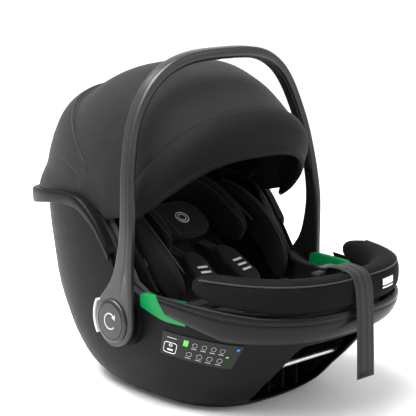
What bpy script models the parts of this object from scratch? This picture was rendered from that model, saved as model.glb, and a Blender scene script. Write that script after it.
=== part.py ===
"""Infant car seat: rocking carrier shell, carry handle, folding canopy, harness and pads.

Frame: metres, +Z up, origin on the ground under the handle's pivot line.
The foot end points along -Y, the head end along +Y, and the seat is symmetric about X = 0.
Points are written (across, forward, up), where forward is -Y and up is counted from a datum
FLOOR_DROP above the ground.
"""
import math

import bmesh
import bpy
from mathutils import Vector

# ---------------------------------------------------------------- driving dimensions
SHELL_WALL = 0.004
LINER_WALL = 0.012
COVER_WALL = 0.008
FLOOR_DROP = 0.030            # the ground lies this far below the datum

HUB_HEIGHT = 0.112
HANDLE_REACH = 0.405          # hub line to the middle of the grip
HANDLE_HALF = 0.2110          # middle of the leg, from the centre plane
HANDLE_POWER = 3.2
LEG_BOSS_RADIUS = 0.042
PIN_RADIUS = 0.009
BOSS_FACE = 0.1970            # outer face of the shell's handle boss
LAYER_TOP = 0.2040            # outer face of the button and lock ring layer

REAR_POWER = 2.8
FRONT_POWER = 2.8
# (height, reach) of the outer shell's plan outline
SHELL = {
    "rear": [(-0.030, 0.125), (-0.020, 0.165), (0.0, 0.203), (0.027, 0.230), (0.073, 0.2585),
             (0.120, 0.284), (0.184, 0.298), (0.234, 0.309), (0.300, 0.314)],
    "front": [(-0.030, 0.140), (-0.015, 0.163), (0.0, 0.180), (0.016, 0.194), (0.034, 0.213),
              (0.057, 0.236), (0.101, 0.277), (0.130, 0.304), (0.170, 0.314)],
    "half": [(-0.030, 0.128), (-0.018, 0.150), (0.0, 0.166), (0.030, 0.178), (0.060, 0.186),
             (0.112, 0.191), (0.170, 0.195), (0.300, 0.1975)],
}
LINER = {
    "rear": [(0.050, 0.125), (0.062, 0.160), (0.085, 0.195), (0.128, 0.240), (0.186, 0.270),
             (0.235, 0.288), (0.300, 0.294)],
    "front": [(0.050, 0.095), (0.062, 0.128), (0.085, 0.168), (0.106, 0.226), (0.116, 0.264),
              (0.135, 0.290), (0.170, 0.302)],
    "half": [(0.050, 0.110), (0.062, 0.140), (0.085, 0.162), (0.112, 0.178), (0.170, 0.184),
             (0.300, 0.186)],
}
# (forward, height) of the shell's top edge
RIM = [(-0.360, 0.247), (-0.311, 0.262), (-0.250, 0.276), (-0.191, 0.286), (-0.151, 0.289),
       (-0.115, 0.287), (-0.095, 0.279), (-0.065, 0.257), (-0.042, 0.228), (-0.020, 0.196),
       (-0.004, 0.172), (0.015, 0.159), (0.050, 0.152), (0.330, 0.152)]

CANOPY_FORWARD = -0.080
CANOPY_HEIGHT = 0.302
CANOPY_POWER = 3.0
# half width, and (lean in degrees, radius) about the canopy's pivot
FRONT_PANEL = {"half": 0.174, "radius": [(40, 0.2095), (55, 0.2000), (70, 0.1945), (80, 0.1915),
                                         (92, 0.1910)]}
MID_PANEL = {"half": 0.170, "radius": [(0, 0.1860)]}
REAR_PANEL = {"half": 0.180, "radius": [(131, 0.2000), (145, 0.2160), (156, 0.2190), (175, 0.2290)]}
FABRIC = 0.0025

BACK_SLOPE = math.radians(31)
BACK_FORWARD = 0.040
BACK_HEIGHT = 0.080

BAR_RADIUS = 0.004
CUTOUT_HALF = 0.075

PARTS = "infant_car_seat"
CUTTERS = "cutters"


# ---------------------------------------------------------------- scene and small helpers
def clear_scene():
    for item in list(bpy.data.objects):
        bpy.data.objects.remove(item, do_unlink=True)


def collection(name):
    found = bpy.data.collections.get(name)
    if found is None:
        found = bpy.data.collections.new(name)
        bpy.context.scene.collection.children.link(found)
    return found


def material(name, colour, roughness, metallic=0.0):
    found = bpy.data.materials.get(name)
    if found is None:
        found = bpy.data.materials.new(name)
        found.use_nodes = True
        shader = found.node_tree.nodes["Principled BSDF"]
        shader.inputs["Base Color"].default_value = (*colour, 1.0)
        shader.inputs["Roughness"].default_value = roughness
        shader.inputs["Metallic"].default_value = metallic
        found.diffuse_color = (*colour, 1.0)
    return found


def place(across, forward, up):
    """Scene point of a place given as across, forward and up."""
    return Vector((across, -forward, up + FLOOR_DROP))


def lerp(a, b, t):
    return a + (b - a) * t


def table_value(points, t):
    """Smooth value at t of a table of (t, value) pairs, flat beyond both ends."""
    if t <= points[0][0]:
        return points[0][1]
    if t >= points[-1][0]:
        return points[-1][1]
    last = len(points) - 1
    i = next(k for k in range(last) if t <= points[k + 1][0])

    def slope(k):
        low, high = max(k - 1, 0), min(k + 1, last)
        return (points[high][1] - points[low][1]) / (points[high][0] - points[low][0])

    (t0, v0), (t1, v1) = points[i], points[i + 1]
    h = t1 - t0
    s = (t - t0) / h
    rise = (2 * s ** 3 - 3 * s ** 2 + 1) * v0 + (3 * s ** 2 - 2 * s ** 3) * v1
    turn = (s ** 3 - 2 * s ** 2 + s) * h * slope(i) + (s ** 3 - s ** 2) * h * slope(i + 1)
    return rise + turn


def power_point(angle, power_value):
    """Unit superellipse point at an angle, as (cosine side, sine side)."""
    c, s = math.cos(angle), math.sin(angle)
    e = 2.0 / power_value
    return math.copysign(abs(c) ** e, c), math.copysign(abs(s) ** e, s)


def add_object(name, mesh, look, group=PARTS):
    item = bpy.data.objects.new(name, mesh)
    collection(group).objects.link(item)
    if look is not None:
        mesh.materials.append(look)
    return item


def finish_mesh(name, bm, look, group=PARTS, smooth_angle=35):
    """Turn a bmesh into an object, faces out, round parts smooth."""
    bmesh.ops.recalc_face_normals(bm, faces=bm.faces)
    mesh = bpy.data.meshes.new(name)
    bm.to_mesh(mesh)
    bm.free()
    mesh.shade_smooth()
    mesh.set_sharp_from_angle(angle=math.radians(smooth_angle))
    return add_object(name, mesh, look, group)


def loft(name, rows, look, ring=True, caps=True, group=PARTS, smooth_angle=35):
    """Quads between rows of points. A ring closes each row; caps close the first and last."""
    bm = bmesh.new()
    lines = [[bm.verts.new(p) for p in row] for row in rows]
    count = len(rows[0])
    steps = count if ring else count - 1
    for low, high in zip(lines, lines[1:]):
        for k in range(steps):
            n = (k + 1) % count
            bm.faces.new((low[k], low[n], high[n], high[k]))
    if ring and caps:
        bm.faces.new(lines[0])
        bm.faces.new(list(reversed(lines[-1])))
    return finish_mesh(name, bm, look, group, smooth_angle)


def solidify(item, thickness, offset=-1.0):
    mod = item.modifiers.new("wall", "SOLIDIFY")
    mod.thickness = thickness
    mod.offset = offset
    mod.use_even_offset = True
    return item


def soften(item, width, segments=2):
    mod = item.modifiers.new("edges", "BEVEL")
    mod.width = width
    mod.segments = segments
    mod.limit_method = "ANGLE"
    return item


def boolean(item, tool, operation="DIFFERENCE"):
    mod = item.modifiers.new(tool.name, "BOOLEAN")
    mod.operation = operation
    mod.object = tool
    mod.solver = "EXACT"
    return item


def as_cutter(item):
    item.hide_render = True
    item.display_type = "WIRE"
    return item


def box(name, size, centre, look=None, group=PARTS, tilt=0.0, round_edge=0.0):
    """Box of size (across, along, up) at a place, tipped about X by tilt."""
    bm = bmesh.new()
    bmesh.ops.create_cube(bm, size=1.0)
    bmesh.ops.scale(bm, vec=Vector(size), verts=bm.verts)
    item = finish_mesh(name, bm, look, group)
    item.location = place(*centre)
    item.rotation_euler = (tilt, 0.0, 0.0)
    if round_edge:
        soften(item, round_edge)
    return item


def disc(name, radius, low, high, centre, look=None, group=PARTS, segments=32, radius_high=None):
    """Cylinder or cone along X from low to high, centred on (forward, up)."""
    bm = bmesh.new()
    bmesh.ops.create_cone(bm, cap_ends=True, segments=segments, radius1=radius,
                          radius2=radius if radius_high is None else radius_high,
                          depth=abs(high - low))
    item = finish_mesh(name, bm, look, group)
    item.location = place((low + high) / 2, *centre)
    item.rotation_euler = (0.0, math.copysign(math.pi / 2, high - low), 0.0)
    return item


def tube(name, points, radius, look, resolution=2):
    """Round rod through points, with filled ends."""
    curve = bpy.data.curves.new(name, "CURVE")
    curve.dimensions = "3D"
    curve.bevel_depth = radius
    curve.bevel_resolution = resolution
    curve.use_fill_caps = True
    line = curve.splines.new("POLY")
    line.points.add(len(points) - 1)
    for knot, p in zip(line.points, points):
        knot.co = (*p, 1.0)
    return add_object(name, curve, look)


def plate(name, outline_points, low, high, look=None, group=PARTS):
    """Flat outline of (forward, up) points, extruded across from low to high."""
    rows = [[place(x, f, z) for f, z in outline_points] for x in (low, high)]
    return loft(name, rows, look, group=group)


def rounded_section(half_a, half_b, corner, count=3):
    """Points (a, b) round a rounded rectangle."""
    out = []
    for quarter, (sa, sb) in enumerate(((1, 1), (-1, 1), (-1, -1), (1, -1))):
        for k in range(count):
            turn = math.pi / 2 * (quarter + k / (count - 1))
            out.append((sa * (half_a - corner) + corner * math.cos(turn),
                        sb * (half_b - corner) + corner * math.sin(turn)))
    return out


# ---------------------------------------------------------------- looks
def looks():
    return {
        "shell": material("shell_plastic", (0.025, 0.025, 0.026), 0.55),
        "trim": material("trim_plastic", (0.045, 0.045, 0.047), 0.45),
        "handle": material("handle_plastic", (0.040, 0.040, 0.042), 0.40),
        "band": material("band_plastic", (0.030, 0.030, 0.031), 0.42),
        "green": material("green_plastic", (0.0, 0.36, 0.09), 0.45),
        "grey": material("grey_plastic", (0.55, 0.55, 0.55), 0.40),
        "foam": material("foam", (0.10, 0.10, 0.10), 0.90),
        "fabric": material("black_fabric", (0.010, 0.010, 0.011), 0.90),
        "canopy": material("canopy_fabric", (0.018, 0.018, 0.019), 0.85),
        "webbing": material("webbing", (0.020, 0.020, 0.021), 0.75),
        "steel": material("steel", (0.75, 0.75, 0.76), 0.22, 1.0),
        "label": material("label_film", (0.010, 0.010, 0.010), 0.25),
        "buckle": material("buckle_plastic", (0.020, 0.020, 0.020), 0.40),
        "red": material("red_plastic", (0.55, 0.02, 0.02), 0.40),
    }


# ---------------------------------------------------------------- tub shapes
def rim_height(forward):
    return table_value(RIM, forward)


def tub_point(shape, angle, up, inset=0.0):
    """Point of a tub's wall at a plan angle (90 degrees = foot end) and a height."""
    back = math.sin(angle) < 0
    c, s = power_point(angle, REAR_POWER if back else FRONT_POWER)
    half = table_value(shape["half"], up) - inset
    reach = table_value(shape["rear" if back else "front"], up) - inset
    return half * c, reach * s, up


def warped(angle):
    """Plan angle drawn closer together beside the hubs, where the rim climbs."""
    return angle - 0.22 * math.sin(2 * angle)


def tub_rows(shape, floor, inset, drop, around, levels):
    rows = []
    for share in levels:
        row = []
        for k in range(around):
            angle = warped(2 * math.pi * k / around)
            forward = tub_point(SHELL, angle, 0.20)[1]
            top = rim_height(forward) - drop
            row.append(place(*tub_point(shape, angle, lerp(floor, top, share), inset)))
        rows.append(row)
    return rows


def tub(name, shape, floor, inset, drop, wall, look, around, levels):
    """Open tub: floor and wall as one surface, thickened inwards."""
    bm = bmesh.new()
    rows = [[bm.verts.new(p) for p in row]
            for row in tub_rows(shape, floor, inset, drop, around, levels)]
    bm.faces.new(list(reversed(rows[0])))
    for low, high in zip(rows, rows[1:]):
        for k in range(around):
            n = (k + 1) % around
            bm.faces.new((low[k], low[n], high[n], high[k]))
    bmesh.ops.reverse_faces(bm, faces=bm.faces)
    mesh = bpy.data.meshes.new(name)
    bm.to_mesh(mesh)
    bm.free()
    mesh.shade_smooth()
    item = add_object(name, mesh, look)
    return solidify(item, wall)


def sides():
    """Side name and sign: the child's left is +X."""
    return (("left", 1), ("right", -1))


def outer_shell(look):
    levels = (0.0, 0.025, 0.06, 0.12, 0.20, 0.30, 0.44, 0.58, 0.72, 0.86, 1.0)
    shell = tub("outer_shell", SHELL, -FLOOR_DROP, 0.0, 0.0105, SHELL_WALL, look, 60, levels)
    for side, sign in sides():
        boss = disc("boss_" + side, 0.044, sign * 0.1875, sign * BOSS_FACE,
                    (0.0, HUB_HEIGHT), group=CUTTERS, segments=40)
        boolean(shell, as_cutter(boss), "UNION")
    bore = disc("hub_bore", PIN_RADIUS + 0.0003, -0.25, 0.25, (0.0, HUB_HEIGHT), group=CUTTERS)
    boolean(shell, as_cutter(bore))
    front = box("front_opening", (2 * CUTOUT_HALF, 0.212, 0.146), (0.0, 0.256, 0.028),
                group=CUTTERS, round_edge=0.012)
    boolean(shell, as_cutter(front))
    rear = box("rear_opening", (2 * CUTOUT_HALF, 0.064, 0.067), (0.0, -0.154, -0.0115),
               group=CUTTERS, round_edge=0.008)
    boolean(shell, as_cutter(rear))
    return shell


def seat_liner(look):
    levels = (0.0, 0.10, 0.22, 0.40, 0.60, 0.80, 1.0)
    return tub("seat_liner", LINER, 0.050, 0.0, 0.008, LINER_WALL, look, 44, levels)


def seat_cover(look):
    inset = LINER_WALL + 0.0015
    levels = (0.0, 0.12, 0.26, 0.44, 0.62, 0.81, 1.0)
    raised = {key: [(z + inset, v) for z, v in LINER[key]] for key in LINER}
    return tub("seat_cover", raised, 0.050 + inset, inset, 0.004, COVER_WALL, look, 44, levels)


def rim_trim(look):
    """Rolled edge over the shell's rim, from one hub round the head end to the other."""
    rows = []
    steps = 52
    first, last = math.radians(-176), math.radians(-4)
    for k in range(steps + 1):
        angle = lerp(first, last, k / steps)
        angle = angle - 0.20 * math.sin(2 * angle)
        x, f, _ = tub_point(SHELL, angle, 0.20)
        top = rim_height(f)
        lip = 0.0036 + 0.033 * max(0.0, (-f - 0.140) / 0.150) ** 1.5
        skirt = table_value([(-0.300, 0.028), (-0.150, 0.019), (0.0, 0.014)], f)

        def at(outward, up):
            return place(*tub_point(SHELL, angle, up, -outward))

        rows.append([at(-0.013, top + 0.001), at(lip - 0.003, top + 0.001), at(lip, top - 0.002),
                     at(lip, top - skirt), at(lip - 0.0028, top - skirt),
                     at(lip - 0.0028, top - 0.0030), at(-0.013, top - 0.0030)])
    return loft("rim_trim", rows, look)


def front_band(look):
    """Wide collar round the foot end, its back edges slanting like a hook."""
    rows = []
    steps = 34
    for k in range(steps + 1):
        share = k / steps
        top_angle = lerp(math.radians(9.0), math.radians(171.0), share)
        low_angle = lerp(math.radians(12.0), math.radians(168.0), share)
        middle = math.sin(math.pi * share)
        top = lerp(0.168, 0.158, min(1.0, middle * 1.4))
        low = lerp(0.139, 0.113, min(1.0, middle * 2.2))
        section = []
        for up_share, outward in ((0.0, 0.0045), (0.0, 0.0080), (0.35, 0.0105), (0.75, 0.0110),
                                  (1.0, 0.0085), (1.0, 0.0045), (0.5, 0.0045)):
            angle = lerp(low_angle, top_angle, up_share)
            section.append(place(*tub_point(SHELL, angle, lerp(low, top, up_share), -outward)))
        rows.append(section)
    return loft("front_band", rows, look)


def belt_guide(side, sign, look):
    """Green saddle over the side rim that the lap belt lies in."""
    rows = []
    steps = 9
    for k in range(steps + 1):
        share = k / steps
        angle = lerp(math.radians(3.6), math.radians(19.0), share)
        skirt = lerp(0.010, 0.024, math.sin(math.pi * min(1.0, share * 1.6) / 2))
        crown = 0.153 + 0.010

        def at(inset, up):
            x, f, z = tub_point(SHELL, angle, up, inset)
            return place(sign * x, f, z)

        base = 0.150
        rows.append([at(0.0075, crown - 0.001), at(-0.0015, crown), at(-0.0037, crown - 0.003),
                     at(-0.0037, base - skirt), at(-0.0008, base - skirt), at(-0.0008, 0.1525),
                     at(0.0050, 0.1525), at(0.0050, base - 0.012), at(0.0075, base - 0.012)])
    return loft("belt_guide_" + side, rows, look)


def foot_bumper_pad(look):
    """Padded roll round the foot end's edge."""
    rows = []
    steps = 30
    first = math.radians(20)
    for k in range(steps + 1):
        share = k / steps
        angle = lerp(first, math.pi - first, share)
        end = min(share, 1 - share) * steps
        size = min(1.0, math.sqrt(max(0.0, (end + 0.35) * (4.35 - end)) / 4.0)) if end < 2 else 1.0
        centre_up = 0.188
        row = []
        for a, b in rounded_section(0.0205, 0.0210, 0.0160):
            x, f, z = tub_point(SHELL, angle, 0.165, 0.0125 - a * size)
            row.append(place(x, f, centre_up + b * size))
        rows.append(row)
    return loft("foot_bumper_pad", rows, look, smooth_angle=60)


# ---------------------------------------------------------------- handle
def handle_frame(share):
    """Middle line of the arch: place across and up, outward normal, and rise above the hubs."""
    if share < 0:
        drop = share * LEG_BOSS_RADIUS
        return HANDLE_HALF, HUB_HEIGHT + drop, (1.0, 0.0), drop
    turn = math.pi / 2 * share
    c, s = power_point(turn, HANDLE_POWER)
    x, rise = HANDLE_HALF * c, HANDLE_REACH * s
    nx = (abs(x) / HANDLE_HALF) ** (HANDLE_POWER - 1) / HANDLE_HALF
    nz = (rise / HANDLE_REACH) ** (HANDLE_POWER - 1) / HANDLE_REACH
    size = math.hypot(nx, nz)
    return x, HUB_HEIGHT + rise, (nx / size, nz / size), rise


def handle_depth(rise):
    """Forward place of the leg's middle, and its depth, at a rise above the hub line."""
    if rise <= 0:
        return 0.0, 2 * math.sqrt(max(LEG_BOSS_RADIUS ** 2 - rise ** 2, 0.000012))
    middle = table_value([(0, 0.0), (0.030, 0.0035), (0.060, 0.016), (0.090, 0.023),
                          (0.150, 0.028), (0.250, 0.018), (0.320, 0.010), (0.380, 0.012),
                          (0.405, 0.018)], rise)
    depth = table_value([(0, 0.084), (0.030, 0.076), (0.060, 0.050), (0.090, 0.037),
                         (0.150, 0.028), (0.250, 0.025), (0.420, 0.027)], rise)
    return middle, depth


def arch_stations():
    """Shares along half the arch: below the hub, up the leg and round to the crown."""
    low = [-math.cos(math.radians(a)) for a in (3, 20, 42, 66)]
    legs = [0.0, 0.012, 0.030, 0.055, 0.085, 0.13, 0.20, 0.30, 0.40, 0.50, 0.60, 0.70, 0.80,
            0.90, 1.0]
    return low + legs


def arch_rows(section_of, stations):
    """Mirror sections built on the +X half of the arch to make the whole arch."""
    half = [section_of(share) for share in stations]
    other = [[(-x, f, z) for x, f, z in row] for row in reversed(half[:-1])]
    return [[place(*p) for p in row] for row in half + other]


def carry_handle(look):
    def section(share):
        x, up, (nx, nz), rise = handle_frame(share)
        middle, depth = handle_depth(rise)
        thick = table_value([(0, 0.0125), (0.10, 0.0130), (0.30, 0.0150), (0.42, 0.0170)], rise)
        corner = min(0.0055, thick * 0.42, depth * 0.42)
        return [(x + a * nx, middle + b, up + a * nz)
                for a, b in rounded_section(thick / 2, depth / 2, corner)]

    handle = loft("carry_handle", arch_rows(section, arch_stations()), look, smooth_angle=50)
    bore = disc("handle_bore", PIN_RADIUS + 0.0003, -0.26, 0.26, (0.0, HUB_HEIGHT), group=CUTTERS)
    return boolean(handle, as_cutter(bore))


def handle_lining(look):
    """Soft strip on the arch's inner face, across the part a hand holds."""
    def section(share):
        x, up, (nx, nz), rise = handle_frame(share)
        middle, depth = handle_depth(rise)
        thick = table_value([(0, 0.0125), (0.10, 0.0130), (0.30, 0.0150), (0.42, 0.0170)], rise)
        return [(x + a * nx, middle + b, up + a * nz)
                for a, b in ((-thick / 2 - 0.0004, -depth * 0.33), (-thick / 2 - 0.0004, depth * 0.33),
                             (-thick / 2 - 0.0024, depth * 0.24), (-thick / 2 - 0.0024, -depth * 0.24))]

    stations = [share for share in arch_stations() if share >= 0.20]
    return loft("handle_lining", arch_rows(section, stations), look, smooth_angle=50)


def hub_cap(side, sign, look):
    """Turned cover disc with a rounded rim, on the outside of the handle's leg."""
    profile = [(0.0, 0.0052), (0.020, 0.0050), (0.030, 0.0046), (0.0335, 0.0034), (0.035, 0.0015),
               (0.035, 0.0), (0.0, 0.0)]
    bm = bmesh.new()
    points = [bm.verts.new((r, 0.0, h)) for r, h in profile]
    for a, b in zip(points, points[1:]):
        bm.edges.new((a, b))
    mesh = bpy.data.meshes.new("hub_cap_" + side)
    bm.to_mesh(mesh)
    bm.free()
    cap = add_object("hub_cap_" + side, mesh, look)
    screw = cap.modifiers.new("turn", "SCREW")
    screw.steps = 36
    screw.render_steps = 36
    screw.use_merge_vertices = True
    screw.merge_threshold = 0.00005
    cap.rotation_euler = (0.0, sign * math.pi / 2, 0.0)
    cap.location = place(sign * 0.2178, 0.0, HUB_HEIGHT)
    return cap


def pivot_pin(side, sign, look):
    pin = disc("pivot_pin_" + side, PIN_RADIUS, sign * 0.1885, sign * 0.2170,
               (0.0, HUB_HEIGHT), look)
    return pin


def lock_ring(side, sign, look):
    """Toothed ring that the handle's latch drops into."""
    teeth = 12
    rows = []
    for x in (BOSS_FACE + 0.0004, LAYER_TOP - 0.0004):
        row = []
        for k in range(teeth * 4):
            radius = 0.0275 if k % 4 in (0, 1) else 0.0235
            turn = 2 * math.pi * k / (teeth * 4)
            row.append(place(sign * x, radius * math.cos(turn), HUB_HEIGHT + radius * math.sin(turn)))
        rows.append(row)
    ring = loft("lock_ring_" + side, rows, look)
    bore = disc("ring_bore_" + side, PIN_RADIUS + 0.0003, sign * 0.19, sign * 0.21,
                (0.0, HUB_HEIGHT), group=CUTTERS)
    return boolean(ring, as_cutter(bore))


def handle_button(side, sign, look):
    """Crescent release button that stands out behind the handle's boss."""
    first, last, steps = math.radians(138), math.radians(222), 10
    arc = [lerp(first, last, k / steps) for k in range(steps + 1)]
    outer = [(0.0505 * math.cos(t), 0.0505 * math.sin(t)) for t in arc]
    inner = [(0.0360 * math.cos(t), 0.0360 * math.sin(t)) for t in reversed(arc)]
    outline_points = [(f, HUB_HEIGHT + z) for f, z in outer + inner]
    button = plate("handle_button_" + side, outline_points, sign * (BOSS_FACE + 0.0005),
                   sign * (LAYER_TOP - 0.0005), look)
    return soften(button, 0.0010, 1)


def button_spring(side, sign, look):
    """Leaf spring between the lock ring and the release button."""
    steps = 8
    line = []
    for k in range(steps + 1):
        t = lerp(-1.0, 1.0, k / steps)
        line.append((-0.0300 - 0.0016 * (1 - t * t), HUB_HEIGHT + 0.009 * t))
    back = [(f - 0.0006, z) for f, z in reversed(line)]
    return plate("button_spring_" + side, line + back, sign * (BOSS_FACE + 0.0015),
                 sign * (LAYER_TOP - 0.0015), look)


# ---------------------------------------------------------------- canopy
def canopy_point(panel, turn, angle):
    """Canopy surface: turn runs across from side to side, angle is the lean about the pivot."""
    c, s = power_point(turn, CANOPY_POWER)
    radius = table_value(panel["radius"], math.degrees(angle)) * s
    return (panel["half"] * c, CANOPY_FORWARD + radius * math.cos(angle),
            CANOPY_HEIGHT + radius * math.sin(angle))


def canopy_turns(count, edge=7.0):
    return [math.radians(lerp(edge, 180 - edge, k / count)) for k in range(count + 1)]


def open_panel(name, rows, look, thickness, offset=-1.0):
    """Open sheet of rows of points, thickened to one side."""
    bm = bmesh.new()
    lines = [[bm.verts.new(p) for p in row] for row in rows]
    for low, high in zip(lines, lines[1:]):
        for k in range(len(low) - 1):
            bm.faces.new((low[k], high[k], high[k + 1], low[k + 1]))
    mesh = bpy.data.meshes.new(name)
    bm.to_mesh(mesh)
    bm.free()
    mesh.shade_smooth()
    return solidify(add_object(name, mesh, look), thickness, offset)


def turned_rows(panel, low, high, steps, across=22):
    rows = []
    for j in range(steps + 1):
        angle = math.radians(lerp(low, high, j / steps))
        rows.append([place(*canopy_point(panel, turn, angle)) for turn in canopy_turns(across)])
    return rows


def visor_row(share, edge=2.0, tuck=0.0):
    """Line across the visor, share 0 at its hanging edge and 1 where it meets the canopy."""
    row = []
    for turn in canopy_turns(22, edge):
        c, s = power_point(turn, CANOPY_POWER)
        low = (0.060 + 0.125 * s ** 1.5, -0.032 + 0.090 * s ** 2)
        top = (0.053 + 0.1145 * s, -0.008 + 0.138 * s)
        swell = 0.006 * math.sin(math.pi * share) - tuck
        row.append(place((0.172 - tuck) * c, CANOPY_FORWARD + lerp(low[0], top[0], share) + swell,
                         CANOPY_HEIGHT + lerp(low[1], top[1], share)))
    return row


def canopy_panels(look):
    open_panel("canopy_visor", [visor_row(k / 3) for k in range(4)], look, 0.003, 1.0)
    front = [visor_row(1.0, 7.0, 0.002)] + turned_rows(FRONT_PANEL, 56, 92, 4)
    open_panel("canopy_front_panel", front, look, FABRIC)
    open_panel("canopy_mid_panel", turned_rows(MID_PANEL, 86, 138, 5), look, FABRIC)
    rear = turned_rows(REAR_PANEL, 131, 175, 4)
    hem = [rim_edge(canopy_point(REAR_PANEL, turn, math.pi)[0]) for turn in canopy_turns(22)]
    last = rear[-1]
    for share in (0.5, 1.0):
        rear.append([high.lerp(low, share) for high, low in zip(last, hem)])
    open_panel("canopy_rear_panel", rear, look, FABRIC)


def rim_edge(across):
    """Place just above the trim's outer edge, round the head end."""
    half = table_value(SHELL["half"], 0.27) + 0.004
    reach = table_value(SHELL["rear"], 0.27) + 0.004
    forward = -reach * (1 - (abs(across) / half) ** REAR_POWER) ** (1 / REAR_POWER)
    return place(across, forward, rim_height(forward + 0.020) + 0.0065)


def canopy_bow(name, radius, half, angle, look):
    """Springy rod under the fabric that carries one edge of the canopy."""
    shape = {"radius": [(0, radius)], "half": half}
    lean = math.radians(angle)
    points = [canopy_point(shape, turn, lean) for turn in canopy_turns(22)]
    end = points[0][0]
    tip = (CANOPY_FORWARD + 0.010 * math.cos(lean), CANOPY_HEIGHT + 0.010 * math.sin(lean))
    points = [(end, *tip)] + points + [(-end, *tip)]
    return tube(name, [place(*p) for p in points], 0.0020, look, 1)


def canopy_hub(side, sign, look):
    """Round pivot block inside the canopy's lower corner."""
    return disc("canopy_hub_" + side, 0.020, sign * 0.1490, sign * 0.1565,
                (CANOPY_FORWARD, CANOPY_HEIGHT), look, segments=24)


def canopy_bracket(side, sign, look, button_look):
    """Slim arm that carries the canopy's hub, with its release button."""
    top, bottom = (-0.0780, 0.2735), (0.0280, 0.1450)
    middle = ((top[0] + bottom[0]) / 2, (top[1] + bottom[1]) / 2)
    length = math.dist(top, bottom)
    tilt = math.atan2(bottom[0] - top[0], top[1] - bottom[1])
    arm = box("canopy_bracket_" + side, (0.0080, 0.0230, length), (sign * 0.1530, *middle), look,
              tilt=-tilt, round_edge=0.0025)
    spot = (lerp(top[0], bottom[0], 0.66), lerp(top[1], bottom[1], 0.66))
    well = box("button_well_" + side, (0.0080, 0.0126, 0.0186), (sign * 0.1482, *spot),
               group=CUTTERS, tilt=-tilt)
    boolean(arm, as_cutter(well))
    box("canopy_button_" + side, (0.0060, 0.0110, 0.0170), (sign * 0.1467, *spot), button_look,
        tilt=-tilt, round_edge=0.0018)


# ---------------------------------------------------------------- seat inside
def back_place(across, along, above):
    """Place on the seat back: along runs up towards the head, above is off its surface."""
    d_f, d_z = -math.cos(BACK_SLOPE), math.sin(BACK_SLOPE)
    n_f, n_z = math.sin(BACK_SLOPE), math.cos(BACK_SLOPE)
    return (across, BACK_FORWARD + along * d_f + above * n_f,
            BACK_HEIGHT + along * d_z + above * n_z)


def seat_insert(look):
    """Body pad along the seat back and under the legs."""
    line = [(0.235, 0.166, 0.062), (0.200, 0.150, 0.078), (0.150, 0.129, 0.090),
            (0.095, 0.112, 0.100), (0.045, 0.106, 0.106), (-0.005, 0.123, 0.106),
            (-0.060, 0.156, 0.100), (-0.110, 0.187, 0.094), (-0.150, 0.210, 0.086)]
    rows = []
    for k, (f, z, half) in enumerate(line):
        before, after = line[max(k - 1, 0)], line[min(k + 1, len(line) - 1)]
        df, dz = after[0] - before[0], after[1] - before[1]
        size = math.hypot(df, dz)
        nf, nz = dz / size, -df / size
        row = [place(a, f + b * nf, z + b * nz) for a, b in rounded_section(half, 0.011, 0.010)]
        rows.append(row)
    return loft("seat_insert", rows, look, smooth_angle=60)


def headrest(look):
    """Horseshoe round the child's head, standing on the seat back."""
    half, turn_at, low = 0.082, 0.185, 0.110
    path = [(half, lerp(low, turn_at, k / 3)) for k in range(3)]
    path += [(half * math.cos(t), turn_at + half * math.sin(t))
             for t in (math.pi * k / 10 for k in range(11))]
    path += [(-half, lerp(turn_at, low, (k + 1) / 3)) for k in range(3)]
    rows = []
    for k, (a, s) in enumerate(path):
        before, after = path[max(k - 1, 0)], path[min(k + 1, len(path) - 1)]
        da, ds = after[0] - before[0], after[1] - before[1]
        size = math.hypot(da, ds)
        na, ns = ds / size, -da / size
        rows.append([place(*back_place(a + w * na, s + w * ns, 0.0735 + h))
                     for w, h in rounded_section(0.014, 0.0335, 0.011)])
    return loft("headrest", rows, look, smooth_angle=60)


def pad_on_back(name, centre, size, look, turn=0.0, corner=0.35):
    """Flat cushion on the seat back: centre (across, along, above), size in the same order."""
    rows = []
    steps = 6
    for k in range(steps + 1):
        share = lerp(-1.0, 1.0, k / steps)
        swell = max(0.35, (1 - abs(share) ** 3) ** 0.5)
        along = share * size[1] / 2
        row = []
        for a, b in rounded_section(size[0] / 2 * swell, size[2] / 2 * (0.6 + 0.4 * swell),
                                    size[2] / 2 * 0.55):
            across = a * math.cos(turn) - along * math.sin(turn)
            up_back = a * math.sin(turn) + along * math.cos(turn)
            row.append(place(*back_place(centre[0] + across, centre[1] + up_back, centre[2] + b)))
        rows.append(row)
    return loft(name, rows, look, smooth_angle=60)


def ribbon(name, points, width, thickness, look, across=(1.0, 0.0, 0.0)):
    """Flat strap of a width through points (across, forward, up)."""
    side = Vector(across).normalized()
    places = [place(*p) for p in points]
    rows = []
    for k, p in enumerate(places):
        run = places[min(k + 1, len(places) - 1)] - places[max(k - 1, 0)]
        flat = (side - run.normalized() * side.dot(run.normalized())).normalized()
        normal = run.normalized().cross(flat).normalized()
        rows.append([p + flat * (a * width / 2) + normal * (b * thickness / 2)
                     for a, b in ((1, 1), (-1, 1), (-1, -1), (1, -1))])
    return loft(name, rows, look, smooth_angle=60)


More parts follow.
